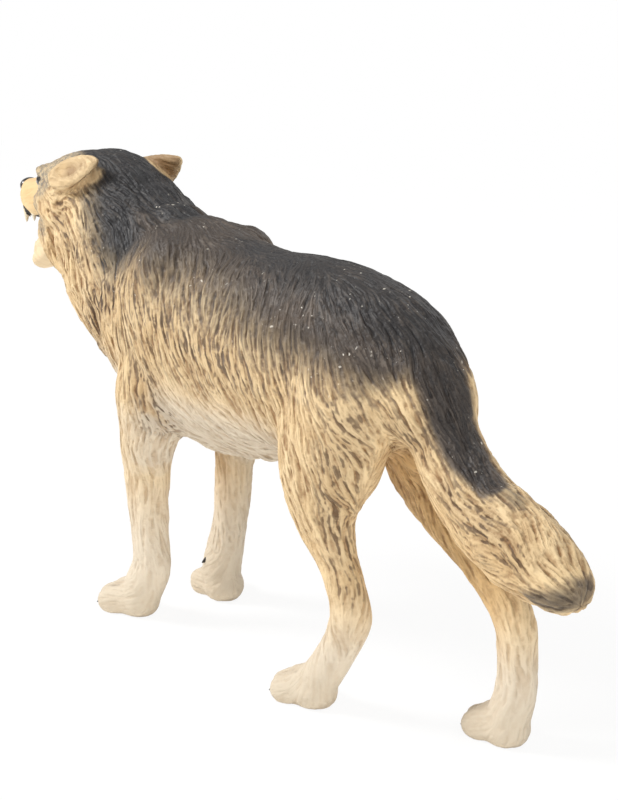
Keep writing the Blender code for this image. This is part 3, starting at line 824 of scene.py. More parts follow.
def strokes_group(kind: str, name: str, taps: int) -> bpy.types.NodeTree:
    """A node group that draws noise out into strokes of fur along a way.

    Args:
        kind: The tree's type: a shader tree or a geometry tree.
        name: The group's name.
        taps: How many places along the stroke are read.

    Returns:
        The group. It takes Place, Way, Scale, Length and Shift. Its Ridge is 0 in the groove
        between two strokes and 1 on a stroke's back, and its Tone is a stroke's own shade, 0 to 1.
    """
    tree = bpy.data.node_groups.new(name, kind)
    vector = "NodeSocketVector"
    number = "NodeSocketFloat"
    sockets = {"Place": vector, "Way": vector, "Scale": number, "Length": number, "Shift": vector}
    for label, sort in sockets.items():
        tree.interface.new_socket(name=label, in_out="INPUT", socket_type=sort)
    for label in ("Ridge", "Tone"):
        tree.interface.new_socket(name=label, in_out="OUTPUT", socket_type=number)
    web = Web(tree)
    given = web.add("NodeGroupInput").outputs
    start = web.vectors("ADD", given["Place"], given["Shift"])
    total: object = 0.0
    for tap in range(taps):
        reach = web.maths("MULTIPLY", given["Length"], tap / (taps - 1) - 0.5)
        place = web.vectors("ADD", start, web.vectors("SCALE", given["Way"], reach))
        total = web.maths("ADD", total, web.noise(place, given["Scale"]))
    mean = web.maths("DIVIDE", total, float(taps))
    out = web.add("NodeGroupOutput")
    for label, below, above in (("Ridge", 1.5, 0.6), ("Tone", 1.6, 1.6)):
        low = 0.5 - below * STROKE_SPREAD
        high = 0.5 + above * STROKE_SPREAD
        web.feed(out.inputs[label], web.step(mean, low, high))
    return tree


@dataclass(frozen=True)
class Strokes:
    """Strokes of one size.

    Attributes:
        scale: Cells of noise to the metre. A stroke is about half a cell wide.
        length: How long a stroke is.
        depth: How deep the grooves between strokes are.
        shift: Moves the pattern, so that no two sizes share one.
    """

    scale: float
    length: float
    depth: float
    shift: Place = (0.0, 0.0, 0.0)

    def placed(self, web: Web, group: bpy.types.NodeTree, place: object, way: object) -> bpy.types.Node:
        """Adds the group of strokes at this size.

        Args:
            web: The tree's web.
            group: The group of strokes, of the same kind as the tree.
            place: The socket of the place.
            way: The socket of the fur's way.

        Returns:
            The group's node.
        """
        kind = "ShaderNodeGroup" if group.bl_idname == "ShaderNodeTree" else "GeometryNodeGroup"
        node = web.add(kind, node_tree=group)
        web.feed(node.inputs["Place"], place)
        web.feed(node.inputs["Way"], way)
        web.feed(node.inputs["Scale"], self.scale)
        web.feed(node.inputs["Length"], self.length)
        web.feed(node.inputs["Shift"], self.shift)
        return node


CLUMPS = Strokes(820.0, 3.8 * MM, 0.22 * MM, (0.3, 0.1, 0.2))
TUFTS = Strokes(1900.0, 2.0 * MM, 0.22 * MM, (0.0, 0.4, 0.0))
HAIRS = Strokes(3500.0, 1.2 * MM, 0.10 * MM, (0.2, 0.0, 0.5))
DASHES = Strokes(2100.0, 1.5 * MM, 0.0, (0.6, 0.2, 0.1))


@dataclass(frozen=True)
class Fur:
    """The sockets that the parts of the coat's material share.

    Attributes:
        place: The place in the coat's own coordinates.
        depth: How deep the fur is carved there.
        patches: The broad unevenness of the spray.
        clumps: The outputs of the clumps.
        tufts: The outputs of the tufts.
        hairs: The outputs of the hairs.
        dashes: The outputs of the dashes.
        groove: How far a place lies in the groove between two tufts.
    """

    place: bpy.types.NodeSocket
    depth: bpy.types.NodeSocket
    patches: bpy.types.NodeSocket
    clumps: bpy.types.NodeOutputs
    tufts: bpy.types.NodeOutputs
    hairs: bpy.types.NodeOutputs
    dashes: bpy.types.NodeOutputs
    groove: bpy.types.NodeSocket

    @classmethod
    def read(cls, web: Web) -> Fur:
        """Adds the shared nodes to a material.

        Args:
            web: The material's web.

        Returns:
            Their sockets.
        """
        place = web.object_place()
        way = web.layer(Layer.WAY, "Vector")
        depth = web.layer(Layer.DEPTH)
        group = strokes_group("ShaderNodeTree", "strokes_painted", STROKE_TAPS)
        kinds = (CLUMPS, TUFTS, HAIRS, DASHES)
        clumps, tufts, hairs, dashes = (kind.placed(web, group, place, way).outputs for kind in kinds)
        patches = web.noise(place, 210.0, 3.0)
        share = web.maths("MULTIPLY_ADD", depth, 0.9, 0.1)
        groove = web.maths("MULTIPLY", web.maths("SUBTRACT", 1.0, tufts["Ridge"]), share)
        return cls(place, depth, patches, clumps, tufts, hairs, dashes, groove)


@dataclass(frozen=True)
class Guide:
    """The way that the fur lies near one place on the left side, and is mirrored on the right."""

    place: Place
    way: Place


GUIDES = (
    # muzzle, forehead and cheeks
    Guide((2, -54, 51), (0, 1, 0.1)),
    Guide((2.5, -49, 53), (0.1, 1, 0.4)),
    Guide((1, -44, 57), (0, 1, 0.15)),
    Guide((5, -46, 51), (0.3, 1, -0.3)),
    Guide((6, -43, 49), (0.2, 0.8, -0.6)),
    Guide((6, -43, 44), (0.1, 0.5, -1)),
    Guide((3, -44, 40), (0, 0.4, -1)),
    Guide((2, -50, 40), (0, 1, -0.3)),
    Guide((6.5, -37, 54), (0, 1, 0.4)),
    # neck and mane
    Guide((0, -36, 57), (0, 1, 0)),
    Guide((5, -34, 55), (0.2, 1, -0.3)),
    Guide((8, -34, 49), (0.1, 0.7, -0.8)),
    Guide((8, -36, 42), (0, 0.5, -1)),
    Guide((6, -37, 36), (0, 0.5, -1)),
    Guide((0, -39, 33), (0, 0.4, -1)),
    Guide((0, -26, 54), (0, 1, -0.3)),
    Guide((5, -24, 52), (0.2, 1, -0.5)),
    Guide((8.5, -26, 47), (0, 0.6, -0.9)),
    Guide((8.5, -29, 39), (0, 0.3, -1)),
    Guide((6, -31, 31), (0, 0.3, -1)),
    Guide((0, -30, 28), (0, 0.7, -0.9)),
    # shoulders, back and flanks
    Guide((0, -15, 52), (0, 1, 0)),
    Guide((5, -14, 51), (0.4, 0.75, -0.7)),
    Guide((9, -15, 46), (0, 0.40, -1)),
    Guide((9.5, -17, 38), (0, 0.25, -1)),
    Guide((8, -20, 30), (0, 0.15, -1)),
    Guide((0, 0, 51), (0, 1, 0)),
    Guide((5, 0, 50), (0.5, 0.4, -0.8)),
    Guide((9.5, -2, 43), (0, 0.22, -1)),
    Guide((9.5, -3, 35), (0, 0.50, -1)),
    Guide((6, -3, 28), (0, 0.8, -0.7)),
    Guide((0, -8, 25), (0, 1, 0)),
    Guide((0, 5, 28), (0, 1, 0)),
    Guide((5, 14, 50), (0.5, 0.5, -0.8)),
    Guide((9, 12, 42), (0, 0.20, -1)),
    Guide((9, 11, 34), (0, 0.35, -1)),
    # rump and thighs
    Guide((0, 19, 50), (0, 1, -0.3)),
    Guide((5, 23, 46), (0.2, 0.8, -0.8)),
    Guide((0, 27, 44), (0, 0.6, -1)),
    Guide((8, 17, 38), (0, 0.35, -1)),
    Guide((8, 24, 34), (0, 0.60, -1)),
    Guide((8, 13, 28), (0, 0.3, -1)),
    Guide((6, 20, 26), (0, 0.40, -1)),
    Guide((6, 22, 18), (0, 0.45, -1)),
    Guide((6, 16, 8), (0, -0.2, -1)),
    # fore legs and paws
    Guide((7, -18, 22), (0, 0.1, -1)),
    Guide((7, -18, 12), (0, 0, -1)),
    Guide((7, -22, 4), (0, -1, -0.3)),
    Guide((6, 11, 4), (0, -1, -0.3)),
    Guide((6, 32, 4), (0, -1, -0.3)),
    Guide((6, 38, 10), (0, 0.1, -1)),
    Guide((6, 36, 18), (0, 0.8, -0.6)),
    # tail
    Guide((3, 32, 37), (0, 0.7, -0.8)),
    Guide((4, 38, 31), (0, 1, -0.5)),
    Guide((0, 40, 34), (0, 1, -0.6)),
    Guide((4, 46, 29), (0, 1, -0.35)),
    Guide((0, 50, 31), (0, 1, -0.6)),
    Guide((0, 46, 24), (0, 1, -0.1)),
    Guide((0, 55, 26), (0, 1, -0.4)),
    Guide((0, 38, 25), (0, 1, -0.4)),
)


@dataclass
class Coat:
    """The wolf's skin: the solid remeshed finely, its fur carved in strokes, and painted.

    Attributes:
        cell: The size of the fine skin's faces.
        rounding: How often the skin is smoothed, which takes the solid's facets off.
        cuts: Where the skin is parted into pieces along the body, in millimetres.
        names: The pieces' names, from the head to the tail.
        wander: How far the fur's way wanders, and in how many waves to the millimetre.
        level: Where the skin stays as it is, from 0 in a groove to 1 on a ridge.
        paint: The coat's colours.
        paintwork: Where they lie.
    """

    cell: float = 0.20 * MM
    rounding: int = 14
    cuts: tuple[float, ...] = (-23.5, -4.0, 18.3)
    names: tuple[str, ...] = ("coat_head", "coat_shoulders", "coat_flanks", "coat_rump")
    wander: tuple[tuple[float, float], ...] = ((0.30, 0.085), (0.16, 0.21))
    level: float = 0.75
    paint: VinylPaint = field(default_factory=VinylPaint)
    paintwork: Paintwork = field(default_factory=Paintwork)

    def build(self) -> BVHTree:
        """Builds the coat and dresses it.

        Returns:
            The skin before its carving, as a tree that teeth and claws are set by.
        """
        skin = self.skin()
        points, _ = points_of(skin)
        faces = [tuple(face.vertices) for face in skin.data.polygons]
        surface = BVHTree.FromPolygons(points.tolist(), faces)
        self.comb(skin)
        self.paintwork.store_on(skin)
        self.carve(skin)
        skin.data.materials.clear()
        skin.data.materials.append(self.material())
        for piece in self.parted(skin):
            mounted(piece, NODE)
        return surface

    def skin(self) -> bpy.types.Object:
        """A fine, even copy of the solid.

        Returns:
            The copy, whose facets are rounded.
        """
        solid = bmesh.new()
        solid.from_mesh(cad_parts[NODE].data)
        bmesh.ops.remove_doubles(solid, verts=solid.verts, dist=1e-7)
        skin = as_object("coat", solid)
        remesh = skin.modifiers.new("fine", "REMESH")
        remesh.mode = "VOXEL"
        remesh.voxel_size = self.cell
        smooth = skin.modifiers.new("round", "SMOOTH")
        smooth.factor = 0.5
        smooth.iterations = self.rounding
        return made_plain(skin)

    def comb(self, skin: bpy.types.Object) -> None:
        """Stores the way that the fur lies on each point and how deep it is carved there.

        Args:
            skin: The coat's object.
        """
        points, normals = points_of(skin)
        places = []
        ways = []
        for guide in GUIDES:
            for side in (1, -1):
                places.append((guide.place[0] * side, guide.place[1], guide.place[2]))
                ways.append((guide.way[0] * side, guide.way[1], guide.way[2]))
        way = blended(points, np.array(places, float), unit(np.array(ways, float)))
        wander = sum(amount * ripple(points, scale) for amount, scale in self.wander)
        way = way + np.cross(normals, way) * wander[:, None]
        way = unit(way - normals * np.sum(way * normals, axis=1)[:, None])
        store_vectors(skin, Layer.WAY.value, way)
        store(skin, Layer.DEPTH, self.depth(points, normals))

    def depth(self, points: np.ndarray, normals: np.ndarray) -> np.ndarray:
        """How deep the fur is carved: most on the flanks and the ruff, least on paws and muzzle.

        Args:
            points: The points, in millimetres.
            normals: Their normals.

        Returns:
            A share for each point.
        """
        y = points[:, 1]
        z = points[:, 2]
        body = 0.85 - 0.32 * eased(27.0, 15.0, z)
        ruff = Spray(((0, -36, 42), (0, -26, 36)), (9, 10), (13, 14)).laid_on(points)
        back = eased(45.0, 51.0, z) * eased(-30.0, -20.0, y)
        face = Spray(on_head((0, 0.58, 0.0), (0, 1.02, -0.1)), (3.6, 4.2), (6.0, 6.0)).laid_on(points)
        jaw = Spray(on_jaw((0.35, 0, 0), (1.0, 0, 0)), (2.8, 2.8), (4.2, 4.0)).laid_on(points)
        crown = Spray(on_head((0, 0.4, 0.45), (0, 0.0, 0.5)), (4.0, 4.5), (7.5, 8.0)).laid_on(points)
        depth = np.maximum(body, ruff) * (1 - 0.40 * back) * (1 - 0.55 * crown)
        ear, _ = self.paintwork.ears(points, normals)
        paws = eased(9.0, 5.0, z)
        bare = np.max([face, jaw, 0.62 * ear, 0.72 * paws], axis=0)
        return depth * (1 - 0.90 * bare)

    def carve(self, skin: bpy.types.Object) -> None:
        """Carves the fur with geometry nodes, in broad clumps and narrower tufts.

        Args:
            skin: The coat's object, which keeps the result as plain mesh.
        """
        tree = bpy.data.node_groups.new("carve_fur", "GeometryNodeTree")
        tree.interface.new_socket(name="Geometry", in_out="INPUT", socket_type="NodeSocketGeometry")
        depths = {"Clump Depth": CLUMPS.depth, "Tuft Depth": TUFTS.depth}
        for name in depths:
            tree.interface.new_socket(name=name, in_out="INPUT", socket_type="NodeSocketFloat")
        tree.interface.new_socket(name="Geometry", in_out="OUTPUT", socket_type="NodeSocketGeometry")
        web = Web(tree)
        given = web.add("NodeGroupInput").outputs
        place = web.add("GeometryNodeInputPosition").outputs[0]
        normal = web.add("GeometryNodeInputNormal").outputs[0]
        way = web.add("GeometryNodeInputNamedAttribute", data_type="FLOAT_VECTOR")
        way.inputs["Name"].default_value = Layer.WAY.value
        share = web.add("GeometryNodeInputNamedAttribute", data_type="FLOAT")
        share.inputs["Name"].default_value = Layer.DEPTH.value
        group = strokes_group("GeometryNodeTree", "strokes_carved", STROKE_TAPS)
        height: object = 0.0
        for strokes, name in ((CLUMPS, "Clump Depth"), (TUFTS, "Tuft Depth")):
            ridge = strokes.placed(web, group, place, way.outputs["Attribute"]).outputs["Ridge"]
            above = web.maths("SUBTRACT", ridge, self.level)
            height = web.maths("MULTIPLY_ADD", above, given[name], height)
        height = web.maths("MULTIPLY", height, share.outputs["Attribute"])
        moved = web.add("GeometryNodeSetPosition")
        web.feed(moved.inputs["Geometry"], given["Geometry"])
        web.feed(moved.inputs["Offset"], web.vectors("SCALE", normal, height))
        real = web.add("GeometryNodeRealizeInstances")
        web.feed(real.inputs[0], moved.outputs[0])
        painted = web.add("GeometryNodeSetMaterial")
        web.feed(painted.inputs["Geometry"], real.outputs[0])
        web.feed(web.add("NodeGroupOutput").inputs[0], painted.outputs[0])
        step = skin.modifiers.new("carve_fur", "NODES")
        step.node_group = tree
        for item in tree.interface.items_tree:
            if item.in_out == "INPUT" and item.name in depths:
                step[item.identifier] = depths[item.name]
        made_plain(skin)

    def parted(self, skin: bpy.types.Object) -> list[bpy.types.Object]:
        """Parts the skin by flat cuts into closed pieces, small enough for one mesh each.

        Args:
            skin: The coat's object, which is used up.

        Returns:
            The pieces. Their shading runs on over the joins.
        """
        _, normals = points_of(skin)
        store_vectors(skin, WHOLE_NORMAL, normals)
        bounds = (-math.inf, *self.cuts, math.inf)
        pieces = []
        for name, low, high in zip(self.names, bounds, bounds[1:]):
            mesh = bmesh.new()
            mesh.from_mesh(skin.data)
            for limit, way in ((low, -1), (high, 1)):
                if math.isinf(limit):
                    continue
                parts = [*mesh.verts, *mesh.edges, *mesh.faces]
                bmesh.ops.bisect_plane(mesh, geom=parts, plane_co=(0, limit * MM, 0), plane_no=(0, way, 0),
                                       clear_outer=True, dist=1e-9)
            whole = len(mesh.faces)
            bmesh.ops.holes_fill(mesh, edges=[edge for edge in mesh.edges if edge.is_boundary], sides=0)
            piece = as_object(name, mesh)
            keep_shading(piece.data, whole)
            piece.data.materials.append(skin.data.materials[0])
            pieces.append(piece)
        bpy.data.objects.remove(skin)
        return pieces

    def material(self) -> bpy.types.Material:
        """Builds the coat's painted vinyl.

        Returns:
            The material.
        """
        made, web, shader = fresh_material("painted_vinyl_coat")
        fur = Fur.read(web)
        dark = self.broken(web, Layer.DARK, fur)
        colour = self.washed(web, fur, self.ground(web, fur))
        colour = web.mix(dark, colour, self.dark_colour(web, fur))
        web.feed(shader.inputs["Base Color"], self.detailed(web, fur, colour))
        web.feed(shader.inputs["Normal"], self.relief(web, fur))
        gloss = web.maths("MULTIPLY_ADD", dark, -0.08, self.paint.roughness - 0.06)
        web.feed(shader.inputs["Roughness"], web.maths("MULTIPLY_ADD", fur.patches, 0.12, gloss))
        shader.inputs["Specular IOR Level"].default_value = self.paint.specular
        return made

    def ground(self, web: Web, fur: Fur) -> bpy.types.NodeSocket:
        """The colours under the washes: cream, ochre, and the pale legs and belly, with painted shade on
        the paws near the ground.

        Args:
            web: The material's web.
            fur: The coat's shared sockets.

        Returns:
            The colour's socket.
        """
        paint = self.paint
        colour = web.mix(web.step(fur.patches, 0.35, 0.70), paint.cream, paint.sand)
        colour = web.mix(web.layer(Layer.OCHRE), colour, paint.ochre)
        # Painted shade on the paws: darker close to the ground, fading out above it
        height = web.add("ShaderNodeSeparateXYZ")
        web.feed(height.inputs[0], fur.place)
        light = web.mix(web.step(height.outputs["Z"], *paint.paw_shade_height), paint.paw, paint.pale)
        light = web.mix(web.maths("MULTIPLY", fur.groove, 0.6), light, paint.pale_shade)
        return web.mix(web.layer(Layer.PALE), colour, light)

    def washed(self, web: Web, fur: Fur, colour: object) -> bpy.types.NodeSocket:
        """Lays the tan wash, the brown with its dashes, and the grey speckle of the face.

        Args:
            web: The material's web.
            fur: The coat's shared sockets.
            colour: The colour under them.

        Returns:
            The colour's socket.
        """
        paint = self.paint
        colour = web.mix(self.wash(web, fur), colour, paint.tan)
        # The brown layer holds brown paint, and painted shade between the toes and along the ruff's fold
        brown = web.layer(Layer.BROWN)
        colour = web.mix(web.maths("MULTIPLY", brown, 0.30), colour, paint.brown)
        dash = web.step(web.maths("MULTIPLY_ADD", fur.groove, 0.45, fur.dashes["Tone"]), 0.62, 1.0)
        colour = web.mix(web.maths("MULTIPLY", brown, dash), colour, paint.umber)
        speckle = web.step(web.noise(fur.place, 2600.0, 1.0), 0.42, 0.62)
        cover = web.maths("MULTIPLY_ADD", speckle, 0.50, 0.42)
        return web.mix(web.maths("MULTIPLY", web.layer(Layer.GREY), cover), colour, paint.grey)

    def wash(self, web: Web, fur: Fur) -> bpy.types.NodeSocket:
        """How much of the thin tan wash lies in the coat's grooves, from the widest to the finest.

        Args:
            web: The material's web.
            fur: The coat's shared sockets.

        Returns:
            The amount's socket.
        """
        paint = self.paint
        fine = web.maths("MULTIPLY", web.maths("SUBTRACT", 1.0, fur.hairs["Ridge"]), fur.depth)
        wide = web.maths("MULTIPLY", web.maths("SUBTRACT", 1.0, fur.clumps["Ridge"]), fur.depth)
        total = web.maths("MULTIPLY", fur.groove, paint.groove_wash)
        total = web.maths("MULTIPLY_ADD", fine, paint.fine_wash, total)
        total = web.maths("MULTIPLY_ADD", wide, paint.wide_wash, total, clamp=True)
        left = web.maths("MULTIPLY_ADD", web.layer(Layer.PALE), -paint.pale_wash, 1.0)
        return web.maths("MULTIPLY", total, left)

    def dark_colour(self, web: Web, fur: Fur) -> bpy.types.NodeSocket:
        """The dark coat's colour: brown at its edge, near black in its middle, and lighter on its hairs'
        ridges, by dry-brushed paint and painted glints.

        Args:
            web: The material's web.
            fur: The coat's shared sockets.

        Returns:
            The colour's socket.
        """
        paint = self.paint
        coat = web.mix(web.step(web.layer(Layer.DARK), 0.35, 0.85), paint.edge, paint.smoke)
        coat = web.mix(web.maths("MULTIPLY", web.step(fur.patches, 0.52, 0.72), 0.35), coat, paint.edge)
        coat = web.mix(self.broken(web, Layer.CORE, fur), coat, paint.core)
        uneven = web.maths("MULTIPLY_ADD", web.step(fur.patches, 0.30, 0.65), 0.30, 0.10)
        # Lighter hair ridges on the dark coat: dry-brushed paint, with painted glints where light catches
        # them
        rubbed_and_glint = web.maths("MULTIPLY", fur.hairs["Ridge"], web.step(fur.hairs["Tone"], 0.50, 0.90))
        rubbed_and_glint = web.maths("MULTIPLY", rubbed_and_glint, uneven)
        rubbed_and_glint = web.maths("MULTIPLY", rubbed_and_glint, web.maths("MULTIPLY_ADD", web.layer(Layer.CORE), -0.6, 1.0))
        coat = web.mix(rubbed_and_glint, coat, paint.rubbed_and_glint)
        spots = web.step(web.noise(fur.place, 2300.0), 0.76, 0.82)
        flecks = web.maths("MULTIPLY", spots, web.step(fur.patches, 0.48, 0.60))
        return web.mix(flecks, coat, paint.fleck)

    def detailed(self, web: Web, fur: Fur, colour: object) -> bpy.types.NodeSocket:
        """Lays the brown of the ears, the reds of the mouth and the black of lips, nose and eyes.

        Args:
            web: The material's web.
            fur: The coat's shared sockets.
            colour: The colour under them.

        Returns:
            The colour's socket.
        """
        paint = self.paint
        uneven = web.maths("MULTIPLY_ADD", fur.patches, 0.8, 0.35)
        colour = web.mix(web.maths("MULTIPLY", web.layer(Layer.EAR), uneven), colour, paint.ear)
        mouth = web.layer(Layer.MOUTH)
        colour = web.mix(mouth, colour, paint.mouth)
        colour = web.mix(web.layer(Layer.TONGUE), colour, paint.tongue)
        rim = web.maths("MULTIPLY", mouth, web.maths("SUBTRACT", 1.0, mouth))
        lip = web.step(rim, 0.10, 0.20)
        black = web.maths("MAXIMUM", lip, web.step(web.layer(Layer.BLACK), 0.30, 0.60))
        return web.mix(black, colour, paint.black)

    def relief(self, web: Web, fur: Fur) -> bpy.types.NodeSocket:
        """The bumps too fine for the mesh: tufts, hairs and the vinyl's grain.

        Args:
            web: The material's web.
            fur: The coat's shared sockets.

        Returns:
            The normal's socket.
        """
        height = web.maths("MULTIPLY_ADD", fur.tufts["Ridge"], 1.6, fur.hairs["Ridge"])
        height = web.maths("MULTIPLY", height, web.maths("MULTIPLY_ADD", fur.depth, 0.85, 0.15))
        height = web.maths("MULTIPLY_ADD", web.noise(fur.place, 5200.0, 2.0), 0.2, height)
        return web.bumped(height, HAIRS.depth)

    def broken(self, web: Web, layer: Layer, fur: Fur) -> bpy.types.NodeSocket:
        """A layer of paint whose edge is broken up by the strokes.

        Args:
            web: The material's web.
            layer: The layer.
            fur: The coat's shared sockets.

        Returns:
            The broken layer's socket.
        """
        given = web.layer(layer)
        wander = web.maths("MULTIPLY", web.maths("SUBTRACT", fur.dashes["Tone"], 0.5), 0.9)
        ridge = web.maths("SUBTRACT", fur.tufts["Ridge"], 0.6)
        wander = web.maths("MULTIPLY_ADD", ridge, -0.8, wander)
        amount = web.maths("MULTIPLY_ADD", wander, web.maths("SUBTRACT", 1.0, given), given)
        return web.maths("MULTIPLY", amount, web.step(given, 0.0, 0.18), clamp=True)


def horn(mesh: bmesh.types.BMesh, root: Vector, way: Vector, bend: Vector, length: float,
         width: float) -> None:
    """Adds a closed, curved point to a mesh: a claw or a tooth.

    Args:
        mesh: The mesh.
        root: The middle of its root, in millimetres.
        way: The way that it starts out.
        bend: How far its tip bends aside, as a share of its length.
        length: Its length.
        width: Its width at the root.
    """
    sides = 14
    rows = 7
    steep = abs(way.z) >= 0.8
    across = way.cross(Vector((1, 0, 0)) if steep else Vector((0.3, 0.2, 1.0))).normalized()
    other = way.cross(across).normalized()
    rings = []
    for row in range(rows):
        share = row / rows
        middle = root + (way * share + bend * share**2) * length
        radius = width / 2 * math.sqrt(1 - share) * (1 - 0.35 * share)
        ring = []
        for side in range(sides):
            turn = math.tau * side / sides
            place = middle + (across * math.cos(turn) + other * math.sin(turn)) * radius
            ring.append(mesh.verts.new(place * MM))
        rings.append(ring)
    tip = mesh.verts.new((root + (way + bend) * length) * MM)
    for low, high in zip(rings, rings[1:]):
        for side in range(sides):
            after = (side + 1) % sides
            mesh.faces.new((low[side], low[after], high[after], high[side]))
    for side in range(sides):
        mesh.faces.new((rings[-1][side], rings[-1][(side + 1) % sides], tip))
    mesh.faces.new(rings[0][::-1])


@dataclass
class Eyes:
    """The two painted eyes, which stand in the coat's sockets.

    Attributes:
        radius: An eye's radius, in millimetres.
        look: The way that the left eye looks, in the head's frame.
        pupil: Where the pupil's edge starts and ends, in radii from its middle.
        iris: The same for the iris.
    """

    radius: float = 0.94
    look: Place = (0.66, -0.72, 0.10)
    pupil: tuple[float, float] = (0.27, 0.33)
    iris: tuple[float, float] = (0.52, 0.62)

    def build(self) -> None:
        """Builds and dresses the eyes."""
        mesh = bmesh.new()
        for side in (-1, 1):
            made = bmesh.ops.create_uvsphere(mesh, u_segments=36, v_segments=24, radius=self.radius * MM)
            bmesh.ops.translate(mesh, verts=made["verts"], vec=HEAD.eye(side) * MM)
        eyes = closed_object("eyes", mesh)
        points, _ = points_of(eyes)
        store(eyes, Layer.PUPIL, self.from_pupil(points))
        painted(eyes, self.material())

    def from_pupil(self, points: np.ndarray) -> np.ndarray:
        """How far each point is from the middle of its eye's pupil.

        Args:
            points: The points, in millimetres.

        Returns:
            The distance of each, in radii of the eye and 1 at most.
        """
        gap = np.ones(len(points))
        for side in (-1, 1):
            look = Vector((side * self.look[0], *self.look[1:])).normalized()
            middle = HEAD.eye(side) + HEAD.turned(look) * self.radius
            gap = np.minimum(gap, np.linalg.norm(points - np.array(middle), axis=1) / self.radius)
        return gap

    def material(self) -> bpy.types.Material:
        """Builds the eyes' glossy paint: a black pupil in an amber iris with a dark rim.

        Returns:
            The material.
        """
        made, web, shader = fresh_material("painted_eye")
        gap = web.layer(Layer.PUPIL)
        grain = web.noise(web.object_place(), 4200.0, 2.0)
        amber = web.mix(grain, srgb(214, 150, 52), srgb(150, 92, 28))
        colour = web.mix(web.step(gap, *self.pupil), srgb(12, 10, 9), amber)
        colour = web.mix(web.step(gap, *self.iris), colour, srgb(26, 20, 17))
        web.feed(shader.inputs["Base Color"], colour)
        shader.inputs["Roughness"].default_value = 0.22
        shader.inputs["Coat Weight"].default_value = 1.0
        shader.inputs["Coat Roughness"].default_value = 0.04
        return made


@dataclass
class Nose:
    """The nose pad, with its two nostrils and the cleft between them.

    Attributes:
        middle: Its middle, in shares of the head.
        radii: Half its width, length and height, in millimetres.
        nostril: The way to the left nostril from the middle.
        nostril_size: A nostril's width and depth, in shares of the nose.
        cleft_size: The cleft's width and depth, in shares of the nose.
    """

    middle: Place = (0.0, 0.995, -0.02)
    radii: Place = (1.42, 1.00, 1.04)
    nostril: Place = (0.52, -0.80, -0.10)
    nostril_size: tuple[float, float] = (0.26, 0.34)
    cleft_size: tuple[float, float] = (0.10, 0.13)

    def build(self) -> None:
        """Builds and dresses the nose."""
        mesh = bmesh.new()
        bmesh.ops.create_uvsphere(mesh, u_segments=72, v_segments=48, radius=1.0)
        middle = HEAD.place(*self.middle)
        for vert in mesh.verts:
            own = vert.co * (1 - self.dent(vert.co))
            shaped = Vector(size * radius for size, radius in zip(own, self.radii))
            vert.co = (middle + HEAD.turned(shaped)) * MM
        nose = closed_object("nose", mesh)
        painted(nose, NOSE_BLACK.material())

    def dent(self, own: Vector) -> float:
        """How far the nostrils and the cleft dent the nose at a place.

        Args:
            own: The place on a ball of radius 1.

        Returns:
            The dent, as a share of the radius.
        """
        width, depth = self.nostril_size
        dent = 0.0
        for side in (-1, 1):
            way = Vector((side * self.nostril[0], *self.nostril[1:])).normalized()
            dent += depth * math.exp(-(((own - way).length / width) ** 2))
        width, depth = self.cleft_size
        if own.y < 0:
            dent += depth * math.exp(-((own.x / width) ** 2)) * (1 - own.z) / 2
        return dent


@dataclass
class Teeth:
    """Fangs, front teeth and cheek teeth, set on the gums of both jaws.

    Attributes:
        fang: A fang's length and width, in millimetres.
        front: The same for the front teeth.
        cheek: The same for the cheek teeth.
        upper_fang: The left upper fang's root: how far across, in millimetres, and how far
            ahead and how high, in shares of the head.
        lower_fang: The left lower fang's root: how far along the jaw, as a share of it, and how
            far across and how high, in millimetres.
        bend: How far a fang's tip bends back, as a share of its length.
    """

    fang: tuple[float, float] = (1.9, 1.2)
    front: tuple[float, float] = (0.7, 0.5)
    cheek: tuple[float, float] = (0.8, 0.85)
    upper_fang: Place = (1.736, 0.89, -0.27)
    lower_fang: Place = (0.84, 1.49, 0.48)
    bend: float = 0.16

    def build(self, surface: BVHTree) -> None:
        """Builds and dresses the teeth.

        Args:
            surface: The coat's surface, in millimetres.
        """
        mesh = bmesh.new()
        for side in (-1, 1):
            self.set_fangs(mesh, side)
            # the front teeth outwards from the middle, then the cheek teeth back towards the hinge
            for number in range(3):
                place = (side * (0.20 + 0.38 * number), 0.955 - 0.008 * number**2)
                self.set_tooth(mesh, surface, *place, self.front)
            for number in range(4):
                place = (side * (1.78 + 0.10 * number), 0.80 - 0.065 * number)
                self.set_tooth(mesh, surface, *place, self.cheek)
        teeth = closed_object("teeth", mesh)
        painted(teeth, IVORY.material())

    def set_fangs(self, mesh: bmesh.types.BMesh, side: int) -> None:
        """Sets the upper and the lower fang of one side.

        Args:
            mesh: The teeth's mesh.
            side: 1 for the left side and -1 for the right.
        """
        across, ahead, height = self.upper_fang
        upper = HEAD.place(0, ahead, height) + HEAD.turned(Vector((side * across, 0, 0)))
        along, across, height = self.lower_fang
        lower = HEAD.jaw(along, side * across, height)
        down = HEAD.turned(Vector((side * 0.10, -0.15, -1)).normalized())
        rise = HEAD.turned(Vector((side * 0.05, -0.30, 1)).normalized())
        bend = HEAD.turned(Vector((0, 1, 0))) * self.bend
        horn(mesh, upper, down, bend, *self.fang)
        horn(mesh, lower, rise, bend, *self.fang)

    def set_tooth(self, mesh: bmesh.types.BMesh, surface: BVHTree, across: float, ahead: float,
                  size: tuple[float, float]) -> None:
        """Sets a tooth on the upper gum and one on the lower, where the gums are found.

        Args:
            mesh: The teeth's mesh.
            surface: The coat's surface, in millimetres.
            across: How far to the left the tooth stands.
            ahead: How far ahead it stands, as a share of the head's length.
            size: Its length and width.
        """
        length, width = size
        start = HEAD.place(0, ahead, -0.62) + HEAD.turned(Vector((across, 0, 0)))
        for way in (Vector((0, 0, 1)), Vector((0, 0, -1))):
            hit, normal, _, gap = surface.ray_cast(start, way, 4.5)
            if hit is None or normal.dot(way) > -0.35 or gap < length:
                continue
            horn(mesh, hit + way * length * 0.4, -way, Vector((0, 0, 0)), length * 1.4, width)


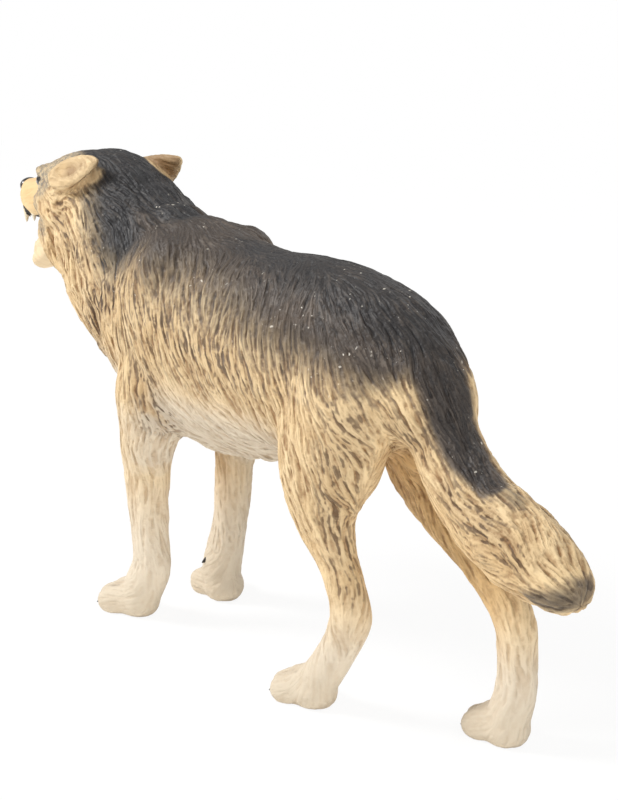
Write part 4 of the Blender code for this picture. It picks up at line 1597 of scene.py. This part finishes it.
@dataclass
class Claws:
    """The claws: four to a paw, and one on the inner side of each fore leg.

    Attributes:
        toes: How far across and ahead each claw's root lies, in shares of the paw.
        root: How high the roots lie, in millimetres.
        size: A claw's length and width, in millimetres.
        inner: The same for the claws on the inner sides of the fore legs.
        inner_place: Near where those two claws are: how far inwards, ahead and up from the
            middle of the leg's foot, in millimetres.
        lowest: How high above the ground the claws stay, in millimetres.
    """

    toes: tuple[tuple[float, float], ...] = ((-0.68, 0.51), (-0.24, 0.63), (0.24, 0.63), (0.68, 0.51))
    root: float = 1.45
    size: tuple[float, float] = (1.30, 0.92)
    inner: tuple[float, float] = (0.95, 0.90)
    inner_place: Place = (2.3, 1.6, 5.7)
    lowest: float = 0.02

    def build(self, surface: BVHTree) -> None:
        """Builds and dresses the claws.

        Args:
            surface: The coat's surface, in millimetres.
        """
        mesh = bmesh.new()
        for foot in FEET:
            for across, ahead in self.toes:
                way = foot.turned(Vector((0.75 * across, -1, -0.22)).normalized())
                horn(mesh, foot.place(across, ahead, self.root), way, Vector((0, 0, -0.16)), *self.size)
        across, ahead, height = self.inner_place
        for foot, inward in ((LEFT_FORE, -1), (RIGHT_FORE, 1)):
            near = Vector((foot.x + across * inward, foot.y - ahead, height))
            place, normal, _, _ = surface.find_nearest(near)
            way = (normal + Vector((0, -0.2, -0.7))).normalized()
            horn(mesh, place - normal * 0.35, way, Vector((0, 0, -0.1)), *self.inner)
        for vert in mesh.verts:
            vert.co.z = max(vert.co.z, self.lowest * MM)
        claws = closed_object("claws", mesh)
        painted(claws, CLAW_HORN.material())


def as_object(name: str, mesh: bmesh.types.BMesh) -> bpy.types.Object:
    """Makes an object of the scene from a bmesh, which is freed.

    Args:
        name: The object's name.
        mesh: The bmesh.

    Returns:
        The object.
    """
    data = bpy.data.meshes.new(name)
    mesh.to_mesh(data)
    mesh.free()
    made = bpy.data.objects.new(name, data)
    bpy.context.scene.collection.objects.link(made)
    return made


def closed_object(name: str, mesh: bmesh.types.BMesh) -> bpy.types.Object:
    """A closed bmesh, with its faces turned outwards, as an object. The bmesh is freed."""
    bmesh.ops.recalc_face_normals(mesh, faces=mesh.faces)
    return as_object(name, mesh)


def painted(piece: bpy.types.Object, paint: bpy.types.Material) -> None:
    """Gives a small piece its paint and smooth shading, and sets it on the body.

    Args:
        piece: The piece.
        paint: Its material.
    """
    piece.data.materials.append(paint)
    piece.data.shade_smooth()
    mounted(piece)


def keep_shading(data: bpy.types.Mesh, whole: int) -> None:
    """Shades a piece by the normals that it had as part of the whole, and its flat ends plainly.

    Args:
        data: The piece's mesh.
        whole: How many of its faces were there before its ends were closed.
    """
    rows = np.empty(len(data.vertices) * 3, dtype=np.float32)
    data.attributes[WHOLE_NORMAL].data.foreach_get("vector", rows)
    rows = unit(rows.reshape(-1, 3))
    corners = np.empty(len(data.loops), dtype=np.int32)
    data.loops.foreach_get("vertex_index", corners)
    normals = rows[corners]
    for face in data.polygons[whole:]:
        normals[face.loop_start:face.loop_start + face.loop_total] = face.normal
    data.shade_smooth()
    data.normals_split_custom_set(normals.tolist())
    data.attributes.remove(data.attributes[WHOLE_NORMAL])


def points_of(obj: bpy.types.Object) -> tuple[np.ndarray, np.ndarray]:
    """The mesh's points in millimetres, and their normals.

    Args:
        obj: The object.

    Returns:
        The points and the normals, one row each.
    """
    count = len(obj.data.vertices)
    points = np.empty(count * 3)
    normals = np.empty(count * 3)
    obj.data.vertices.foreach_get("co", points)
    obj.data.vertices.foreach_get("normal", normals)
    return points.reshape(-1, 3) / MM, normals.reshape(-1, 3)


def blended(points: np.ndarray, places: np.ndarray, ways: np.ndarray) -> np.ndarray:
    """The ways blended by how near each place is to the points.

    Args:
        points: The points.
        places: The places that the ways are known at.
        ways: The ways at those places.

    Returns:
        The way at each point, of length 1.
    """
    total = np.zeros_like(points)
    for place, way in zip(places, ways):
        gap = np.sum((points - place) ** 2, axis=1)
        total += way / (gap**2 + 4.0)[:, None]
    return unit(total)


def ripple(points: np.ndarray, scale: float) -> np.ndarray:
    """A smooth wander over space, from about -1 to 1, with no random draws.

    Args:
        points: The points, in millimetres.
        scale: Waves to the millimetre.

    Returns:
        The wander at each point.
    """
    layers = 3
    total = np.zeros(len(points))
    for layer in range(layers):
        turn = 1.7 + 2.4 * layer
        way = np.array([math.cos(turn), math.sin(turn * 1.3), math.cos(turn * 0.7 + 1.0)])
        across = np.array([math.sin(turn * 0.9), math.cos(turn * 1.1), math.sin(turn * 2.1)])
        wave = np.sin(points @ way * math.tau * scale + turn)
        total += wave * np.cos(points @ across * math.tau * scale * 0.7)
    return total / math.sqrt(layers)


def store(obj: bpy.types.Object, layer: Layer, values: np.ndarray) -> None:
    """Stores a value on each point of an object's mesh."""
    attribute = obj.data.attributes.new(layer.value, "FLOAT", "POINT")
    attribute.data.foreach_set("value", values.astype(np.float32))


def store_vectors(obj: bpy.types.Object, name: str, rows: np.ndarray) -> None:
    """Stores a vector on each point of an object's mesh."""
    attribute = obj.data.attributes.new(name, "FLOAT_VECTOR", "POINT")
    attribute.data.foreach_set("vector", rows.astype(np.float32).ravel())


def made_plain(obj: bpy.types.Object) -> bpy.types.Object:
    """Turns an object's modifiers into plain mesh.

    Args:
        obj: The object.

    Returns:
        The same object, without modifiers.
    """
    graph = bpy.context.evaluated_depsgraph_get()
    data = bpy.data.meshes.new_from_object(obj.evaluated_get(graph))
    obj.modifiers.clear()
    obj.data = data
    return obj


def mounted(obj: bpy.types.Object, *nodes: str) -> None:
    """Sets a piece on the figurine's body, hides the CAD nodes that it stands for, and logs its triangles.

    Args:
        obj: The piece.
        nodes: The CAD nodes that it stands for.
    """
    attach(obj, BODY)
    if nodes:
        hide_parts(*nodes)
    triangles = sum(len(face.vertices) - 2 for face in obj.data.polygons)
    log.info("%s: %d triangles", obj.name, triangles)


@dataclass(frozen=True)
class Lamp:
    """A soft round lamp.

    Attributes:
        name: Its name.
        place: Where it hangs, in metres.
        size: Its width, in metres.
        power: Its power, in watts.
    """

    name: str
    place: Place
    size: float
    power: float

    def hang(self, target: Vector) -> None:
        """Hangs the lamp in the scene.

        Args:
            target: The place that it is turned to, in metres.
        """
        data = bpy.data.lights.new(self.name, "AREA")
        data.shape = "DISK"
        data.size = self.size
        data.energy = self.power
        lamp = bpy.data.objects.new(self.name, data)
        bpy.context.scene.collection.objects.link(lamp)
        lamp.location = self.place
        way = target - Vector(self.place)
        lamp.rotation_euler = way.to_track_quat("-Z", "Y").to_euler()


# The key comes from the wolf's left, ahead of it and above
LAMPS = (
    Lamp("key", (0.44, -0.42, 0.56), 0.26, 6.0),
    Lamp("fill", (0.24, 0.75, 0.34), 0.60, 3.2),
    Lamp("far_side", (-0.60, -0.20, 0.45), 0.50, 1.3),
)


@dataclass
class Studio:
    """The floor, the lamps and the camera of the photograph.

    Attributes:
        target: What the camera looks at.
        azimuth: The camera's side, in degrees.
        elevation: Its height, in degrees.
        distance: How far it is from the target.
        focal: Its focal length, in pixels.
        height: The picture's height, in pixels.
        sensor: The sensor's size.
        ambient: How strong the light from all round is.
        floor_size: Half the floor's width.
        floor_white: The share of white that the camera sees in the floor, near the wolf.
        fade: How far from the wolf the floor starts to turn all white, and where it ends.
        lit_place: The place that the lamps are turned to.
    """

    target: Place = (-0.350 * MM, 7.5377 * MM, 33.6267 * MM)
    azimuth: float = 144.5
    elevation: float = 15.5
    distance: float = 268.667 * MM
    focal: float = 2300.0
    height: float = 800.0
    sensor: float = 36.0
    ambient: float = 0.42
    floor_size: float = 4.0
    floor_white: float = 0.90
    fade: tuple[float, float] = (0.06, 0.40)
    lit_place: Place = (0.0, 0.0, 0.03)

    def build(self) -> None:
        """Builds the studio."""
        self.camera()
        self.floor()
        for lamp in LAMPS:
            lamp.hang(Vector(self.lit_place))
        self.surroundings()
        bpy.context.scene.view_settings.view_transform = "Standard"

    def way_back(self) -> Vector:
        """The way from the target to the camera.

        Returns:
            The way, of length 1.
        """
        turn = math.radians(self.azimuth)
        rise = math.radians(self.elevation)
        return Vector((math.sin(turn) * math.cos(rise), -math.cos(turn) * math.cos(rise), math.sin(rise)))

    def camera(self) -> None:
        """Sets up the camera at the photograph's view."""
        data = bpy.data.cameras.new("photo_view")
        data.sensor_width = self.sensor
        data.lens = self.focal / self.height * self.sensor
        data.clip_start = 10 * MM
        data.clip_end = 10.0
        obj = bpy.data.objects.new("photo_view", data)
        bpy.context.scene.collection.objects.link(obj)
        back = self.way_back()
        obj.location = Vector(self.target) + back * self.distance
        obj.rotation_euler = (-back).to_track_quat("-Z", "Y").to_euler()
        bpy.context.scene.camera = obj

    def seen_white(self, web: Web, shade: bpy.types.NodeSocket, share: object,
                   out: bpy.types.NodeSocket) -> None:
        """Mixes white into what the camera sees of a shader.

        Args:
            web: The tree's web.
            shade: The shader that lights the object.
            share: How much white there is for the camera.
            out: The socket that the result goes to.
        """
        kind = "ShaderNodeBackground" if out.node.type == "OUTPUT_WORLD" else "ShaderNodeEmission"
        white = web.add(kind)
        white.inputs["Color"].default_value = (1, 1, 1, 1)
        white.inputs["Strength"].default_value = 1.0
        path = web.add("ShaderNodeLightPath")
        rays = web.maths("MAXIMUM", path.outputs["Is Camera Ray"], path.outputs["Is Transmission Ray"])
        both = web.add("ShaderNodeMixShader")
        web.feed(both.inputs[0], web.maths("MULTIPLY", rays, share))
        web.feed(both.inputs[1], shade)
        web.feed(both.inputs[2], white.outputs[0])
        web.feed(out, both.outputs[0])

    def floor(self) -> None:
        """Lays the pale floor, which keeps the wolf's shadow."""
        mesh = bmesh.new()
        bmesh.ops.create_grid(mesh, x_segments=1, y_segments=1, size=self.floor_size)
        floor = as_object("floor", mesh)
        made, web, shader = fresh_material("pale_floor")
        shader.inputs["Base Color"].default_value = srgb(250, 249, 247)
        shader.inputs["Roughness"].default_value = 0.9
        gap = web.add("ShaderNodeVectorMath", operation="LENGTH")
        web.feed(gap.inputs[0], web.object_place())
        far = web.step(gap.outputs["Value"], *self.fade)
        share = web.maths("MULTIPLY_ADD", far, 1 - self.floor_white, self.floor_white)
        out = web.tree.nodes["Material Output"].inputs["Surface"]
        self.seen_white(web, shader.outputs[0], share, out)
        floor.data.materials.append(made)

    def surroundings(self) -> None:
        """Sets the pale surroundings, which the camera sees as white."""
        world = bpy.data.worlds.new("studio")
        world.use_nodes = True
        bpy.context.scene.world = world
        web = Web(world.node_tree)
        shade = world.node_tree.nodes["Background"]
        shade.inputs["Color"].default_value = (1, 1, 1, 1)
        shade.inputs["Strength"].default_value = self.ambient
        out = world.node_tree.nodes["World Output"].inputs["Surface"]
        self.seen_white(web, shade.outputs[0], 1.0, out)


def main() -> None:
    """Builds the figurine and its studio."""
    logging.basicConfig(level=logging.INFO, format="%(name)s: %(message)s")
    surface = Coat().build()
    Eyes().build()
    Nose().build()
    Teeth().build(surface)
    Claws().build(surface)
    Studio().build()


if __name__ == "__main__":
    main()
